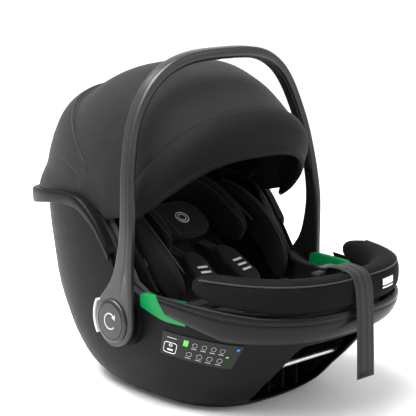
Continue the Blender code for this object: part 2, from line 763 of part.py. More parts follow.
def harness(look):
    """Shoulder, hip and crotch straps, and the buckle that lies on the insert."""
    fabric, webbing, plastic = look["fabric"], look["webbing"], look["buckle"]
    lean = math.radians(-17)
    run = (math.cos(lean), -math.sin(lean))
    spot = (0.125, 0.1470)

    def on_buckle(along, above):
        return (spot[0] + along * run[0] - above * run[1], spot[1] + along * run[1] + above * run[0])

    for side, sign in sides():
        pad_on_back("shoulder_pad_" + side, (sign * 0.040, 0.062, 0.057), (0.046, 0.100, 0.013),
                    fabric, turn=sign * 0.12)
        ribbon("shoulder_strap_" + side,
               [back_place(sign * 0.034, 0.150, 0.0340), back_place(sign * 0.036, 0.132, 0.0400),
                back_place(sign * 0.038, 0.118, 0.0445), back_place(sign * 0.039, 0.090, 0.0465),
                back_place(sign * 0.038, 0.040, 0.0465), (sign * 0.030, 0.050, 0.1285),
                (sign * 0.0200, 0.065, 0.1300), (sign * 0.0165, 0.0755, 0.1325)],
               0.024, 0.0014, webbing)
        ribbon("hip_strap_" + side,
               [(sign * 0.128, 0.060, 0.126), (sign * 0.110, 0.066, 0.1310),
                (sign * 0.080, 0.074, 0.1335), (sign * 0.056, 0.0800, 0.1340),
                (sign * 0.0320, 0.0850, 0.1340)],
               0.024, 0.0014, webbing, across=(0.0, 1.0, 0.0))
        box("buckle_tongue_" + side, (0.013, 0.024, 0.0035), (sign * 0.0165, *on_buckle(-0.0375, 0.0)),
            look["steel"], tilt=lean, round_edge=0.0010)
    buckle = box("buckle", (0.048, 0.050, 0.019), (0.0, *spot), plastic, tilt=lean, round_edge=0.005)
    well = box("buckle_well", (0.024, 0.026, 0.020), (0.0, *on_buckle(0.0, 0.0110)), group=CUTTERS,
               tilt=lean)
    boolean(buckle, as_cutter(well))
    box("buckle_button", (0.023, 0.025, 0.0065), (0.0, *on_buckle(0.0, 0.0075)), look["red"],
        tilt=lean, round_edge=0.0012)
    ribbon("crotch_strap",
           [(0.0, 0.1505, 0.1550), (0.0, 0.1650, 0.1585), (0.0, 0.1800, 0.1620), (0.0, 0.1920, 0.1650)],
           0.030, 0.0016, webbing)


def adjuster(look):
    """Harness tightener at the foot end, and its webbing hanging over the pad."""
    points = [(0.0, 0.262, 0.1975), (0.0, 0.266, 0.2110), (0.0, 0.280, 0.2150),
              (0.0, 0.300, 0.2145), (0.0, 0.316, 0.2085), (0.0, 0.3245, 0.192),
              (0.0, 0.3285, 0.160), (0.0, 0.3300, 0.125), (0.0, 0.3315, 0.090),
              (0.0, 0.3325, 0.052)]
    ribbon("adjuster_strap", points, 0.038, 0.0022, look["webbing"])
    box("adjuster_housing", (0.052, 0.020, 0.024), (0.0, 0.2500, 0.1900), look["buckle"],
        round_edge=0.003)
    box("adjuster_button", (0.030, 0.014, 0.005), (0.0, 0.2500, 0.2070), look["buckle"],
        round_edge=0.0012)


def side_label(look):
    """Thin film on the right wall."""
    rows = []
    across, up = 10, 4
    for j in range(up + 1):
        row = []
        for k in range(across + 1):
            share = k / across
            angle = math.radians(lerp(11.0, 46.0, share))
            low, top = lerp(0.072, 0.062, share), lerp(0.110, 0.106, share)
            x, f, z = tub_point(SHELL, angle, lerp(low, top, j / up), -0.0013)
            row.append(place(-x, f, z))
        rows.append(row)
    return open_panel("side_label", rows, look, 0.0006, 1.0)


def shoulder_belt_hook(look):
    """Hook on the back of the shell that the car's shoulder belt runs behind."""
    outline_points = [(-0.2895, 0.128), (-0.3050, 0.128), (-0.3150, 0.142), (-0.3190, 0.184),
                      (-0.3145, 0.184), (-0.3105, 0.148), (-0.3035, 0.136), (-0.2920, 0.136)]
    hook = plate("shoulder_belt_hook", outline_points, -0.034, 0.034, look)
    return soften(hook, 0.0012, 1)


# ---------------------------------------------------------------- underside
def latch_frame(name, side_outline, wall, rib_to, bar, look):
    """Cradle of two side plates, a cross wall and ribs that holds a steel latch bar."""
    frame = plate(name, side_outline, 0.0775, 0.0820, look)
    other = as_cutter(plate(name + "_side", side_outline, -0.0775, -0.0820, group=CUTTERS))
    boolean(frame, other, "UNION")
    wall_f, wall_low, wall_high, wall_t = wall
    cross = box(name + "_wall", (0.1590, wall_t, wall_high - wall_low),
                (0.0, wall_f, (wall_low + wall_high) / 2), group=CUTTERS)
    boolean(frame, as_cutter(cross), "UNION")
    for k in range(4):
        x = lerp(-0.048, 0.048, k / 3)
        rib = box(name + "_rib_%d" % k, (0.0030, abs(rib_to - wall_f), (wall_high - wall_low) * 0.8),
                  (x, (wall_f + rib_to) / 2, (wall_low + wall_high) / 2), group=CUTTERS)
        boolean(frame, as_cutter(rib), "UNION")
    hole = disc(name + "_bar_hole", BAR_RADIUS + 0.0003, -0.10, 0.10, bar, group=CUTTERS, segments=16)
    return boolean(frame, as_cutter(hole))


def underside(look):
    front_bar, rear_bar = (0.205, 0.051), (-0.160, 0.006)
    latch_frame("front_latch_frame",
                [(0.118, -0.0240), (0.124, -0.0240), (0.138, -0.012), (0.156, 0.003), (0.170, 0.018),
                 (0.188, 0.035), (0.210, 0.058), (0.219, 0.072), (0.205, 0.080), (0.118, 0.055)],
                (0.1205, -0.023, 0.050, 0.004), 0.146, front_bar, look["shell"])
    latch_frame("rear_latch_frame",
                [(-0.118, -0.0205), (-0.136, -0.0160), (-0.160, -0.0050), (-0.176, 0.007),
                 (-0.172, 0.026), (-0.118, 0.026)],
                (-0.1200, -0.019, 0.024, 0.003), -0.134, rear_bar, look["shell"])
    for name, spot in (("front_latch_bar", front_bar), ("rear_latch_bar", rear_bar)):
        disc(name, BAR_RADIUS, -0.0835, 0.0835, spot, look["steel"], segments=16)


def build():
    clear_scene()
    look = looks()
    outer_shell(look["shell"])
    seat_liner(look["foam"])
    seat_cover(look["fabric"])
    rim_trim(look["trim"])
    front_band(look["band"])
    foot_bumper_pad(look["fabric"])
    carry_handle(look["handle"])
    handle_lining(look["handle"])
    for side, sign in sides():
        belt_guide(side, sign, look["green"])
        hub_cap(side, sign, look["handle"])
        pivot_pin(side, sign, look["steel"])
        lock_ring(side, sign, look["buckle"])
        handle_button(side, sign, look["grey"])
        button_spring(side, sign, look["steel"])
        canopy_hub(side, sign, look["buckle"])
        canopy_bracket(side, sign, look["trim"], look["grey"])
    canopy_panels(look["canopy"])
    canopy_bow("canopy_front_bow", 0.1930, 0.1655, 46, look["buckle"])
    canopy_bow("canopy_mid_bow", 0.1795, 0.1625, 90, look["buckle"])
    seat_insert(look["fabric"])
    headrest(look["fabric"])
    pad_on_back("head_pad", (0.0, 0.185, 0.058), (0.112, 0.090, 0.020), look["fabric"])
    harness(look)
    adjuster(look)
    side_label(look["label"])
    shoulder_belt_hook(look["green"])
    underside(look)


build()
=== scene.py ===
import math

import bmesh
import bpy
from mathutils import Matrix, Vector


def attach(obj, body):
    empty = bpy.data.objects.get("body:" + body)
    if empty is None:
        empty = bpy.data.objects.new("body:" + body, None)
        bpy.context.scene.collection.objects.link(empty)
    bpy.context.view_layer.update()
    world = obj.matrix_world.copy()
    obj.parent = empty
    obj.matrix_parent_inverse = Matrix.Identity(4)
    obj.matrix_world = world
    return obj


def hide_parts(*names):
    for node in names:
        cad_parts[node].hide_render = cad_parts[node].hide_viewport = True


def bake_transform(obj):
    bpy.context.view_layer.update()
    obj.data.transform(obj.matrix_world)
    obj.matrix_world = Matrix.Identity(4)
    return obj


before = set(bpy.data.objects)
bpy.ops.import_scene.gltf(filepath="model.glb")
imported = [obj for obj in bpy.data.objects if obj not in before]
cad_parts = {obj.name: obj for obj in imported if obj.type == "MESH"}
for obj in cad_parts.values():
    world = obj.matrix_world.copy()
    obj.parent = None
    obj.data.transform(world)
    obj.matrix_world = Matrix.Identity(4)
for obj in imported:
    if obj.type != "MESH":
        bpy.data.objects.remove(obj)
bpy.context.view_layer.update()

# Infant carrier seat. Metres, +Z up, foot end along -Y, head end along +Y.
# Places are written (across, forward, up): forward is -Y, up counts from FLOOR_DROP above ground.

FLOOR_DROP = 0.030
HUB_UP = 0.112
HANDLE_REACH = 0.405
HANDLE_HALF = 0.2110
HANDLE_POWER = 3.2
LEG_BOSS = 0.042
PLAN_POWER = 2.8
PIVOT = (-0.080, 0.302)          # canopy pivot, as (forward, up)
BACK_LEAN = math.radians(31)
BACK_START = (0.040, 0.080)
BAR_HALF = 0.075
PIN_HOLE = 0.0093
RIM_LEVEL = 0.20                 # height at which the plan outline is read for the rim
PIPING = 0.0013
CLOTH_COLUMNS = 64
SIDES = (("left", 1), ("right", -1))

SHELL = {
    "rear": [(-0.030, 0.125), (-0.020, 0.165), (0.0, 0.203), (0.027, 0.230), (0.073, 0.2585),
             (0.120, 0.284), (0.184, 0.298), (0.234, 0.309), (0.300, 0.314)],
    "front": [(-0.030, 0.140), (-0.015, 0.163), (0.0, 0.180), (0.016, 0.194), (0.034, 0.213),
              (0.057, 0.236), (0.101, 0.277), (0.130, 0.304), (0.170, 0.314)],
    "half": [(-0.030, 0.128), (-0.018, 0.150), (0.0, 0.166), (0.030, 0.178), (0.060, 0.186),
             (0.112, 0.191), (0.170, 0.195), (0.300, 0.1975)],
}
LINER = {
    "rear": [(0.050, 0.125), (0.062, 0.160), (0.085, 0.195), (0.128, 0.240), (0.186, 0.270),
             (0.235, 0.288), (0.300, 0.294)],
    "front": [(0.050, 0.095), (0.062, 0.128), (0.085, 0.168), (0.106, 0.226), (0.116, 0.264),
              (0.135, 0.290), (0.170, 0.302)],
    "half": [(0.050, 0.110), (0.062, 0.140), (0.085, 0.162), (0.112, 0.178), (0.170, 0.184),
             (0.300, 0.186)],
}
RIM = [(-0.360, 0.247), (-0.311, 0.262), (-0.250, 0.276), (-0.191, 0.286), (-0.151, 0.289),
       (-0.115, 0.287), (-0.095, 0.279), (-0.065, 0.257), (-0.042, 0.228), (-0.020, 0.196),
       (-0.004, 0.172), (0.015, 0.159), (0.050, 0.152), (0.330, 0.152)]
# (lean in degrees, radius) of the canopy cloth about its pivot
CANOPY = [(38, 0.2130), (56, 0.2010), (70, 0.1965), (82, 0.1970), (97, 0.1935), (112, 0.1895),
          (124, 0.1890), (129.6, 0.1905), (131.4, 0.2015), (145, 0.2165), (156, 0.2200),
          (175, 0.2300)]


# ------------------------------------------------------------------ shape helpers
def place(across, forward, up):
    return Vector((across, -forward, up + FLOOR_DROP))


def mix(a, b, t):
    return a + (b - a) * t


def curve_value(points, t):
    """Smooth value at t of (t, value) pairs, flat beyond both ends."""
    if t <= points[0][0]:
        return points[0][1]
    if t >= points[-1][0]:
        return points[-1][1]
    last = len(points) - 1
    i = next(k for k in range(last) if t <= points[k + 1][0])

    def slope(k):
        low, high = max(k - 1, 0), min(k + 1, last)
        return (points[high][1] - points[low][1]) / (points[high][0] - points[low][0])

    (t0, v0), (t1, v1) = points[i], points[i + 1]
    h = t1 - t0
    s = (t - t0) / h
    rise = (2 * s ** 3 - 3 * s ** 2 + 1) * v0 + (3 * s ** 2 - 2 * s ** 3) * v1
    return rise + (s ** 3 - 2 * s ** 2 + s) * h * slope(i) + (s ** 3 - s ** 2) * h * slope(i + 1)


def oval(angle, power):
    """Unit superellipse point at an angle."""
    c, s = math.cos(angle), math.sin(angle)
    return math.copysign(abs(c) ** (2 / power), c), math.copysign(abs(s) ** (2 / power), s)


def rim_up(forward):
    return curve_value(RIM, forward)


def wall_point(shape, angle, up, outward=0.0):
    """Tub wall at a plan angle, 90 degrees being the foot end."""
    c, s = oval(angle, PLAN_POWER)
    reach = curve_value(shape["rear" if s < 0 else "front"], up)
    return (curve_value(shape["half"], up) + outward) * c, (reach + outward) * s, up


def back_point(across, along, above):
    """Place on the leaning seat back: along runs to the head, above stands off it."""
    return (across, BACK_START[0] - along * math.cos(BACK_LEAN) + above * math.sin(BACK_LEAN),
            BACK_START[1] + along * math.sin(BACK_LEAN) + above * math.cos(BACK_LEAN))


def rounded(half_a, half_b, corner, count=5):
    """Points (a, b) round a rounded rectangle."""
    out = []
    for quarter, (sa, sb) in enumerate(((1, 1), (-1, 1), (-1, -1), (1, -1))):
        for k in range(count):
            turn = math.pi / 2 * (quarter + k / (count - 1))
            out.append((sa * (half_a - corner) + corner * math.cos(turn),
                        sb * (half_b - corner) + corner * math.sin(turn)))
    return out


def smooth_path(points, steps):
    """Evenly counted points on a smooth curve through points."""
    last = len(points) - 1
    out = []
    for k in range(steps + 1):
        t = k / steps * last
        i = min(int(t), last - 1)
        s = t - i
        p0, p1 = Vector(points[max(i - 1, 0)]), Vector(points[i])
        p2, p3 = Vector(points[i + 1]), Vector(points[min(i + 2, last)])
        out.append(0.5 * (2 * p1 + (p2 - p0) * s + (2 * p0 - 5 * p1 + 4 * p2 - p3) * s ** 2
                          + (3 * p1 - p0 - 3 * p2 + p3) * s ** 3))
    return out


# ------------------------------------------------------------------ mesh helpers
def put(name, data, look=None, body=None):
    """Object of a mesh, lamp or camera; a mesh can take a material and a body."""
    piece = bpy.data.objects.new(name, data)
    bpy.context.scene.collection.objects.link(piece)
    if look is not None:
        data.materials.append(look)
    if body is not None:
        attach(piece, body)
    return piece


def mesh_of(name, rows, closed=True, sharp=None):
    """Quads between rows of points; closed joins each row's ends and fills both end rows."""
    bm = bmesh.new()
    lines = [[bm.verts.new(p) for p in row] for row in rows]
    count = len(rows[0])
    for low, high in zip(lines, lines[1:]):
        for k in range(count if closed else count - 1):
            n = (k + 1) % count
            bm.faces.new((low[k], low[n], high[n], high[k]))
    if closed:
        bm.faces.new(lines[0])
        bm.faces.new(list(reversed(lines[-1])))
    bmesh.ops.recalc_face_normals(bm, faces=bm.faces)
    mesh = bpy.data.meshes.new(name)
    bm.to_mesh(mesh)
    bm.free()
    mesh.shade_smooth()
    if sharp is not None:
        mesh.set_sharp_from_angle(angle=math.radians(sharp))
    return mesh


def modify(piece, kind, **values):
    mod = piece.modifiers.new(kind.lower(), kind)
    for key, value in values.items():
        setattr(mod, key, value)
    return mod


def bake(piece):
    """Apply every modifier of a piece to its mesh."""
    bpy.context.view_layer.update()
    graph = bpy.context.evaluated_depsgraph_get()
    done = bpy.data.meshes.new_from_object(piece.evaluated_get(graph))
    piece.modifiers.clear()
    piece.data = done
    return piece


def rod(name, points, radius, look, body, sides=8):
    """Round cord of thread or piping through points, as a mesh."""
    rows = []
    last = len(points) - 1
    for k, p in enumerate(points):
        run = (points[min(k + 1, last)] - points[max(k - 1, 0)]).normalized()
        flat = run.cross(Vector((0.0, 0.0, 1.0)))
        if flat.length < 0.05:
            flat = run.cross(Vector((1.0, 0.0, 0.0)))
        flat.normalize()
        other = run.cross(flat)
        rows.append([p + flat * (radius * math.cos(t)) + other * (radius * math.sin(t))
                     for t in (2 * math.pi * j / sides for j in range(sides))])
    return put(name, mesh_of(name, rows), look, body)


def webbing(name, points, width, thickness, look, body, across=(1.0, 0.0, 0.0), steps=40):
    """Flat woven strap on a smooth line, with soft selvedges."""
    side = Vector(across).normalized()
    line = smooth_path([place(*p) for p in points], steps)
    rows = []
    for k, p in enumerate(line):
        run = (line[min(k + 1, steps)] - line[max(k - 1, 0)]).normalized()
        flat = (side - run * side.dot(run)).normalized()
        normal = run.cross(flat)
        row = []
        for a, b in ((1.0, 0.35), (0.94, 1.0), (0.5, 1.0), (0.0, 1.0), (-0.5, 1.0), (-0.94, 1.0),
                     (-1.0, 0.35), (-1.0, -0.35), (-0.94, -1.0), (-0.5, -1.0), (0.0, -1.0),
                     (0.5, -1.0), (0.94, -1.0), (1.0, -0.35)):
            row.append(p + flat * (a * width / 2) + normal * (b * thickness / 2))
        rows.append(row)
    return put(name, mesh_of(name, rows, sharp=40), look, body)


def cut(piece, tools, operation="DIFFERENCE"):
    """Booleans applied straight away, and the tools removed."""
    for tool in tools:
        modify(piece, "BOOLEAN", operation=operation, object=tool, solver="EXACT")
        bake(piece)
        bpy.data.objects.remove(tool, do_unlink=True)
    return piece


def block(size, centre, bevel):
    """Helper box with rounded edges, used as a cutting tool."""
    bm = bmesh.new()
    bmesh.ops.create_cube(bm, size=1.0)
    bmesh.ops.scale(bm, vec=Vector(size), verts=bm.verts)
    bmesh.ops.bevel(bm, geom=bm.edges, offset=bevel, segments=4, profile=0.5, affect="EDGES")
    mesh = bpy.data.meshes.new("tool")
    bm.to_mesh(mesh)
    bm.free()
    tool = put("tool", mesh)
    tool.location = place(*centre)
    return tool


def barrel(radius, low, high, centre, segments=64):
    """Helper cylinder along X, used as a joining or cutting tool."""
    rows = [[place(x, centre[0] + radius * math.cos(t), centre[1] + radius * math.sin(t))
             for t in (2 * math.pi * k / segments for k in range(segments))] for x in (low, high)]
    return put("tool", mesh_of("tool", rows))


def thin_print(name, rows, look, thickness, onto=None):
    """Ink or patch with a little thickness, drawn onto a piece first if one is given."""
    piece = put(name, mesh_of(name, rows, closed=False), look)
    if onto is not None:
        modify(piece, "SHRINKWRAP", target=onto, offset=0.0005)
    modify(piece, "SOLIDIFY", thickness=thickness, offset=0.0)
    bake(piece)
    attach(piece, "shell")


def puff(piece, voxel, pressure, limit):
    """Fill a pad: even voxel mesh, cloth held out by pressure, each point's travel capped."""
    bm = bmesh.new()
    bm.from_mesh(piece.data)
    bmesh.ops.recalc_face_normals(bm, faces=bm.faces)
    bm.to_mesh(piece.data)
    bm.free()
    modify(piece, "REMESH", mode="VOXEL", voxel_size=voxel, use_smooth_shade=True)
    modify(piece, "SMOOTH", factor=0.5, iterations=3)
    bake(piece)
    start = [v.co.copy() for v in piece.data.vertices]
    cloth = modify(piece, "CLOTH")
    cloth.settings.use_pressure = True
    cloth.settings.uniform_pressure_force = pressure
    cloth.settings.effector_weights.gravity = 0.0
    cloth.settings.quality = 5
    scene = bpy.context.scene
    scene.frame_start, scene.frame_end = 1, 20
    for step in range(1, 21):
        scene.frame_set(step)
    bake(piece)
    for vert, before in zip(piece.data.vertices, start):
        travel = vert.co - before
        if travel.length > limit:
            vert.co = before + travel * (limit / travel.length)
    scene.frame_set(1)
    modify(piece, "SMOOTH", factor=0.5, iterations=2)
    modify(piece, "SUBSURF", levels=1, render_levels=1)
    bake(piece)
    piece.data.shade_smooth()
    return piece


# ------------------------------------------------------------------ materials
def linear(code):
    """sRGB hex to linear colour with alpha."""
    parts = [int(code[k:k + 2], 16) / 255 for k in (1, 3, 5)]
    return (*[p / 12.92 if p <= 0.04045 else ((p + 0.055) / 1.055) ** 2.4 for p in parts], 1.0)


def add(tree, kind, settings=None, **links):
    """One node: settings go on its properties or sockets, links join other nodes' outputs."""
    node = tree.nodes.new(kind)
    for key, value in (settings or {}).items():
        if isinstance(key, str) and hasattr(node, key) and key not in node.inputs:
            setattr(node, key, value)
        else:
            node.inputs[key].default_value = value
    for key, source in links.items():
        socket = int(key[1:]) if key[0] == "n" and key[1:].isdigit() else key.replace("_", " ")
        tree.links.new(source, node.inputs[socket])
    return node


def start_material(name, values):
    """Empty material with constants on its shader's sockets, and its object coordinates."""
    made = bpy.data.materials.new(name)
    made.use_nodes = True
    tree = made.node_tree
    shader = tree.nodes["Principled BSDF"]
    for socket, value in values.items():
        shader.inputs[socket].default_value = value
    where = add(tree, "ShaderNodeTexCoord").outputs["Object"]
    return made, tree, shader, where


def wire(tree, shader, tone, dark, light, rough=None, *reliefs):
    """Join patterns to the shader: tone between two colours, rough as (pattern, low, high) and
    reliefs as (height, distance, strength), each one standing on the one before."""
    ramp = add(tree, "ShaderNodeValToRGB", Fac=tone)
    for stop, code in zip(ramp.color_ramp.elements, (dark, light)):
        stop.color = linear(code)
    tree.links.new(ramp.outputs["Color"], shader.inputs["Base Color"])
    if rough is not None:
        spread = add(tree, "ShaderNodeMapRange", {"To Min": rough[1], "To Max": rough[2]},
                     Value=rough[0])
        tree.links.new(spread.outputs["Result"], shader.inputs["Roughness"])
    below = {}
    for height, distance, strength in reliefs:
        bump = add(tree, "ShaderNodeBump", {"Distance": distance, "Strength": strength},
                   Height=height, **below)
        below = {"Normal": bump.outputs["Normal"]}
    for normal in below.values():
        tree.links.new(normal, shader.inputs["Normal"])


def per_metre(millimetres):
    """Texture scale whose features are about this far apart."""
    return 1000.0 / millimetres


def band_scale(millimetres):
    """Wave texture scale whose light and dark halves are each about this wide: one whole band
    takes up 0.314 of a unit of the texture's scale."""
    return per_metre(millimetres * 6.28)


def moulded(name, dark, light, roughness, grain_mm, depth, coat=0.0, ior=1.40):
    """Injection-moulded thermoplastic: spark-eroded grain, handling marks, faint colour drift."""
    made, tree, shader, where = start_material(name, {
        "Roughness": roughness, "IOR": ior, "Coat Weight": coat, "Coat Roughness": 0.25})
    cloud = add(tree, "ShaderNodeTexNoise", {"Scale": per_metre(90), "Detail": 3.0}, Vector=where)
    smear = add(tree, "ShaderNodeTexNoise", {"Scale": per_metre(14), "Detail": 4.0}, Vector=where)
    grain = add(tree, "ShaderNodeTexNoise", {"Scale": per_metre(grain_mm), "Detail": 2.0,
                                             "Roughness": 0.6}, Vector=where)
    wire(tree, shader, cloud.outputs["Fac"], dark, light,
         (smear.outputs["Fac"], roughness - 0.07, roughness + 0.09),
         (grain.outputs["Fac"], depth, 0.5))
    return made


def woven(name, dark, light, roughness, thread_mm, depth, sheen, ior):
    """Plain-weave polyester: crossing threads, slubs along them and a soft sheen."""
    made, tree, shader, where = start_material(name, {
        "Roughness": roughness, "IOR": ior, "Sheen Weight": sheen, "Sheen Roughness": 0.45})
    waves = [add(tree, "ShaderNodeTexWave", {
        "bands_direction": direction, "Scale": band_scale(thread_mm), "Distortion": 0.6,
        "Detail": 1.0}, Vector=where).outputs["Fac"] for direction in "XYZ"]
    pair = add(tree, "ShaderNodeMath", {"operation": "MAXIMUM"}, n0=waves[0], n1=waves[1])
    weave = add(tree, "ShaderNodeMath", {"operation": "MULTIPLY"}, n0=pair.outputs[0], n1=waves[2])
    slub = add(tree, "ShaderNodeTexNoise", {"Scale": per_metre(9), "Detail": 5.0}, Vector=where)
    tone = add(tree, "ShaderNodeMath", {"operation": "MULTIPLY_ADD", 1: 0.28},
               n0=weave.outputs[0], n2=slub.outputs["Fac"])
    soft = add(tree, "ShaderNodeTexNoise", {"Scale": per_metre(45), "Detail": 3.0}, Vector=where)
    wire(tree, shader, tone.outputs[0], dark, light,
         (slub.outputs["Fac"], roughness - 0.06, roughness + 0.06),
         (weave.outputs[0], depth, 0.6), (soft.outputs["Fac"], 0.004, 0.25))
    return made


def knitted(name, dark, light, roughness, stitch_mm, depth, sheen):
    """Weft-knitted jersey over foam: rows of small loops that catch the light softly."""
    made, tree, shader, where = start_material(name, {
        "Roughness": roughness, "IOR": 1.20, "Sheen Weight": sheen, "Sheen Roughness": 0.4})
    loops = add(tree, "ShaderNodeTexVoronoi", {"Scale": per_metre(stitch_mm),
                                               "Randomness": 0.35}, Vector=where)
    cloud = add(tree, "ShaderNodeTexNoise", {"Scale": per_metre(25), "Detail": 4.0}, Vector=where)
    tone = add(tree, "ShaderNodeMath", {"operation": "MULTIPLY_ADD", 1: 0.35},
               n0=loops.outputs["Distance"], n2=cloud.outputs["Fac"])
    wire(tree, shader, tone.outputs[0], dark, light,
         (cloud.outputs["Fac"], roughness - 0.05, roughness + 0.05),
         (loops.outputs["Distance"], -depth, 0.6), (cloud.outputs["Fac"], 0.003, 0.2))
    return made


def ribbed(name, dark, light, roughness, axis, rib_mm):
    """Narrow-loom webbing: ribs that run the strap's length, crossed by fine picks."""
    made, tree, shader, where = start_material(name, {
        "Roughness": roughness, "IOR": 1.25, "Sheen Weight": 0.05, "Sheen Roughness": 0.5})
    rib = add(tree, "ShaderNodeTexWave", {"bands_direction": axis, "Scale": band_scale(rib_mm)},
              Vector=where)
    pick = add(tree, "ShaderNodeTexWave", {"bands_direction": "Z", "Scale": band_scale(1.1)},
               Vector=where)
    both = add(tree, "ShaderNodeMath", {"operation": "MULTIPLY_ADD", 1: 0.4},
               n0=pick.outputs["Fac"], n2=rib.outputs["Fac"]).outputs[0]
    wire(tree, shader, both, dark, light, (both, roughness, roughness + 0.12), (both, 0.0007, 0.8))
    return made


def drawn_steel(name):
    """Bright drawn bar: hair lines along its length."""
    made, tree, shader, where = start_material(name, {"Roughness": 0.24, "Metallic": 1.0})
    drawn = add(tree, "ShaderNodeMapping", {"Scale": (8.0, 700.0, 700.0)}, Vector=where)
    lines = add(tree, "ShaderNodeTexNoise", {"Scale": 1.0, "Detail": 2.0},
                Vector=drawn.outputs["Vector"]).outputs["Fac"]
    wire(tree, shader, lines, "#c4c6c8", "#e6e7e8", (lines, 0.18, 0.34), (lines, 0.0001, 0.4))
    return made


def printed(name, code, roughness):
    """Screen ink or reflective print, slightly uneven where it was laid down."""
    made, tree, shader, where = start_material(name, {"Roughness": roughness, "IOR": 1.40})
    speck = add(tree, "ShaderNodeTexNoise", {"Scale": per_metre(2.5), "Detail": 2.0},
                Vector=where).outputs["Fac"]
    dull = "#%02x%02x%02x" % tuple(int(int(code[k:k + 2], 16) * 0.9) for k in (1, 3, 5))
    wire(tree, shader, speck, dull, code, None, (speck, 0.0001, 0.3))
    return made


def floor_paint(name):
    """Matt white paint, faintly uneven."""
    made, tree, shader, where = start_material(name, {"Roughness": 0.9, "IOR": 1.40})
    wash = add(tree, "ShaderNodeTexNoise", {"Scale": 1.2, "Detail": 2.0}, Vector=where)
    wire(tree, shader, wash.outputs["Fac"], "#f7f7f7", "#fbfbfb")
    return made


SHELL_PP = moulded("grained_moulded_polypropylene", "#0b0b0c", "#111112", 0.44, 0.9, 0.0002,
                   ior=1.14)
TRIM_ABS = moulded("satin_moulded_abs", "#0a0a0b", "#101011", 0.38, 1.2, 0.00006, ior=1.16)
HANDLE_NYLON = moulded("satin_glass_filled_nylon", "#1a1a1b", "#212122", 0.30, 1.6, 0.00002, 0.08)
GRIP_RUBBER = moulded("soft_touch_elastomer", "#09090a", "#0f0f10", 0.62, 0.8, 0.0003)
BAND_ABS = moulded("collar_satin_abs", "#0c0c0d", "#121213", 0.34, 1.2, 0.00005, ior=1.22)
GREEN_PP = moulded("green_moulded_polypropylene", "#016c34", "#027f41", 0.42, 1.0, 0.0001,
                   ior=1.25)
GREY_ABS = moulded("light_grey_abs", "#a8a8a9", "#bcbcbd", 0.38, 1.0, 0.0001)
DARK_ACETAL = moulded("black_moulded_acetal", "#0a0a0b", "#111112", 0.36, 1.0, 0.0001)
RED_ABS = moulded("red_moulded_abs", "#9d1216", "#b3191d", 0.38, 1.0, 0.0001)
BEAD_FOAM = moulded("moulded_bead_foam", "#161617", "#1f1f20", 0.85, 4.0, 0.0010)
LABEL_FILM = moulded("laminated_label_film", "#08080a", "#0d0d0f", 0.22, 6.0, 0.0001,
                     0.05, ior=1.25)
CANOPY_CLOTH = woven("woven_polyester_canopy", "#121213", "#202021", 0.74, 1.4, 0.0002, 0.07,
                     ior=1.20)
VISOR_CLOTH = woven("woven_polyester_visor", "#0b0b0c", "#151516", 0.70, 1.4, 0.0002, 0.03,
                    ior=1.18)
BUMPER_CLOTH = woven("woven_twill_bumper", "#090909", "#131314", 0.72, 1.3, 0.0003, 0.01, ior=1.12)
SEAT_KNIT = knitted("knitted_jersey_cushion", "#0f0f10", "#1d1d1e", 0.78, 1.5, 0.0005, 0.08)
PAD_KNIT = knitted("brushed_knit_pads", "#131314", "#222223", 0.78, 1.4, 0.0005, 0.10)
# Binding and piping cloth: a real edge cloth, drawn lighter than it is as a painted highlight
# along the padded edges and seams.
PIPING_CLOTH_PAINTED_HIGHLIGHT = knitted("edge_binding_painted_highlight", "#222223", "#343435", 0.66, 0.9, 0.0003, 0.12)
THREAD = knitted("lockstitch_thread", "#161617", "#232324", 0.6, 0.8, 0.0002, 0.1)
STRAP_WEBBING = ribbed("narrow_loom_webbing", "#0e0f10", "#242526", 0.55, "X", 6.3)
HIP_WEBBING = ribbed("narrow_loom_hip_webbing", "#0e0f10", "#242526", 0.55, "Y", 6.3)
STEEL = drawn_steel("bright_drawn_steel")
WHITE_PRINT = printed("white_screen_print", "#e8e8e8", 0.55)
GREY_PRINT = printed("grey_screen_print", "#9b9b9b", 0.5)
BLUE_PRINT = printed("blue_screen_print", "#2f6fd0", 0.5)
LIME_PRINT = printed("green_screen_print", "#63b94a", 0.5)
FLOOR = floor_paint("matt_white_floor")

CAD_LOOKS = {
    "seat_liner": BEAD_FOAM, "front_latch_frame": SHELL_PP, "rear_latch_frame": SHELL_PP,
    "front_latch_bar": STEEL, "rear_latch_bar": STEEL, "shoulder_belt_hook": GREEN_PP,
    "adjuster_housing": DARK_ACETAL, "adjuster_button": DARK_ACETAL, "buckle": DARK_ACETAL,
    "buckle_button": RED_ABS, "canopy_front_bow": DARK_ACETAL, "canopy_mid_bow": DARK_ACETAL,
    "side_label": LABEL_FILM,
}
for side in ("left", "right"):
    CAD_LOOKS.update({
        "pivot_pin_" + side: STEEL, "lock_ring_" + side: DARK_ACETAL,
        "handle_button_" + side: GREY_ABS, "button_spring_" + side: STEEL,
        "buckle_tongue_" + side: STEEL, "canopy_hub_" + side: DARK_ACETAL,
        "canopy_bracket_" + side: TRIM_ABS, "canopy_button_" + side: GREY_ABS,
        "hub_cap_" + side: HANDLE_NYLON,
    })
for node, look in CAD_LOOKS.items():
    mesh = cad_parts[node].data
    mesh.materials.clear()
    mesh.materials.append(look)


# ------------------------------------------------------------------ shell, trim and collar
def tub_rows(shape, floor, drop, around, levels, outward=0.0):
    """Rings of a tub wall, from its floor to a drop below the rim line."""
    rows = []
    for share in levels:
        row = []
        for k in range(around):
            angle = 2 * math.pi * k / around
            angle -= 0.22 * math.sin(2 * angle)
            top = rim_up(wall_point(SHELL, angle, RIM_LEVEL)[1]) - drop
            row.append(place(*wall_point(shape, angle, mix(floor, top, share), outward)))
        rows.append(row)
    return rows


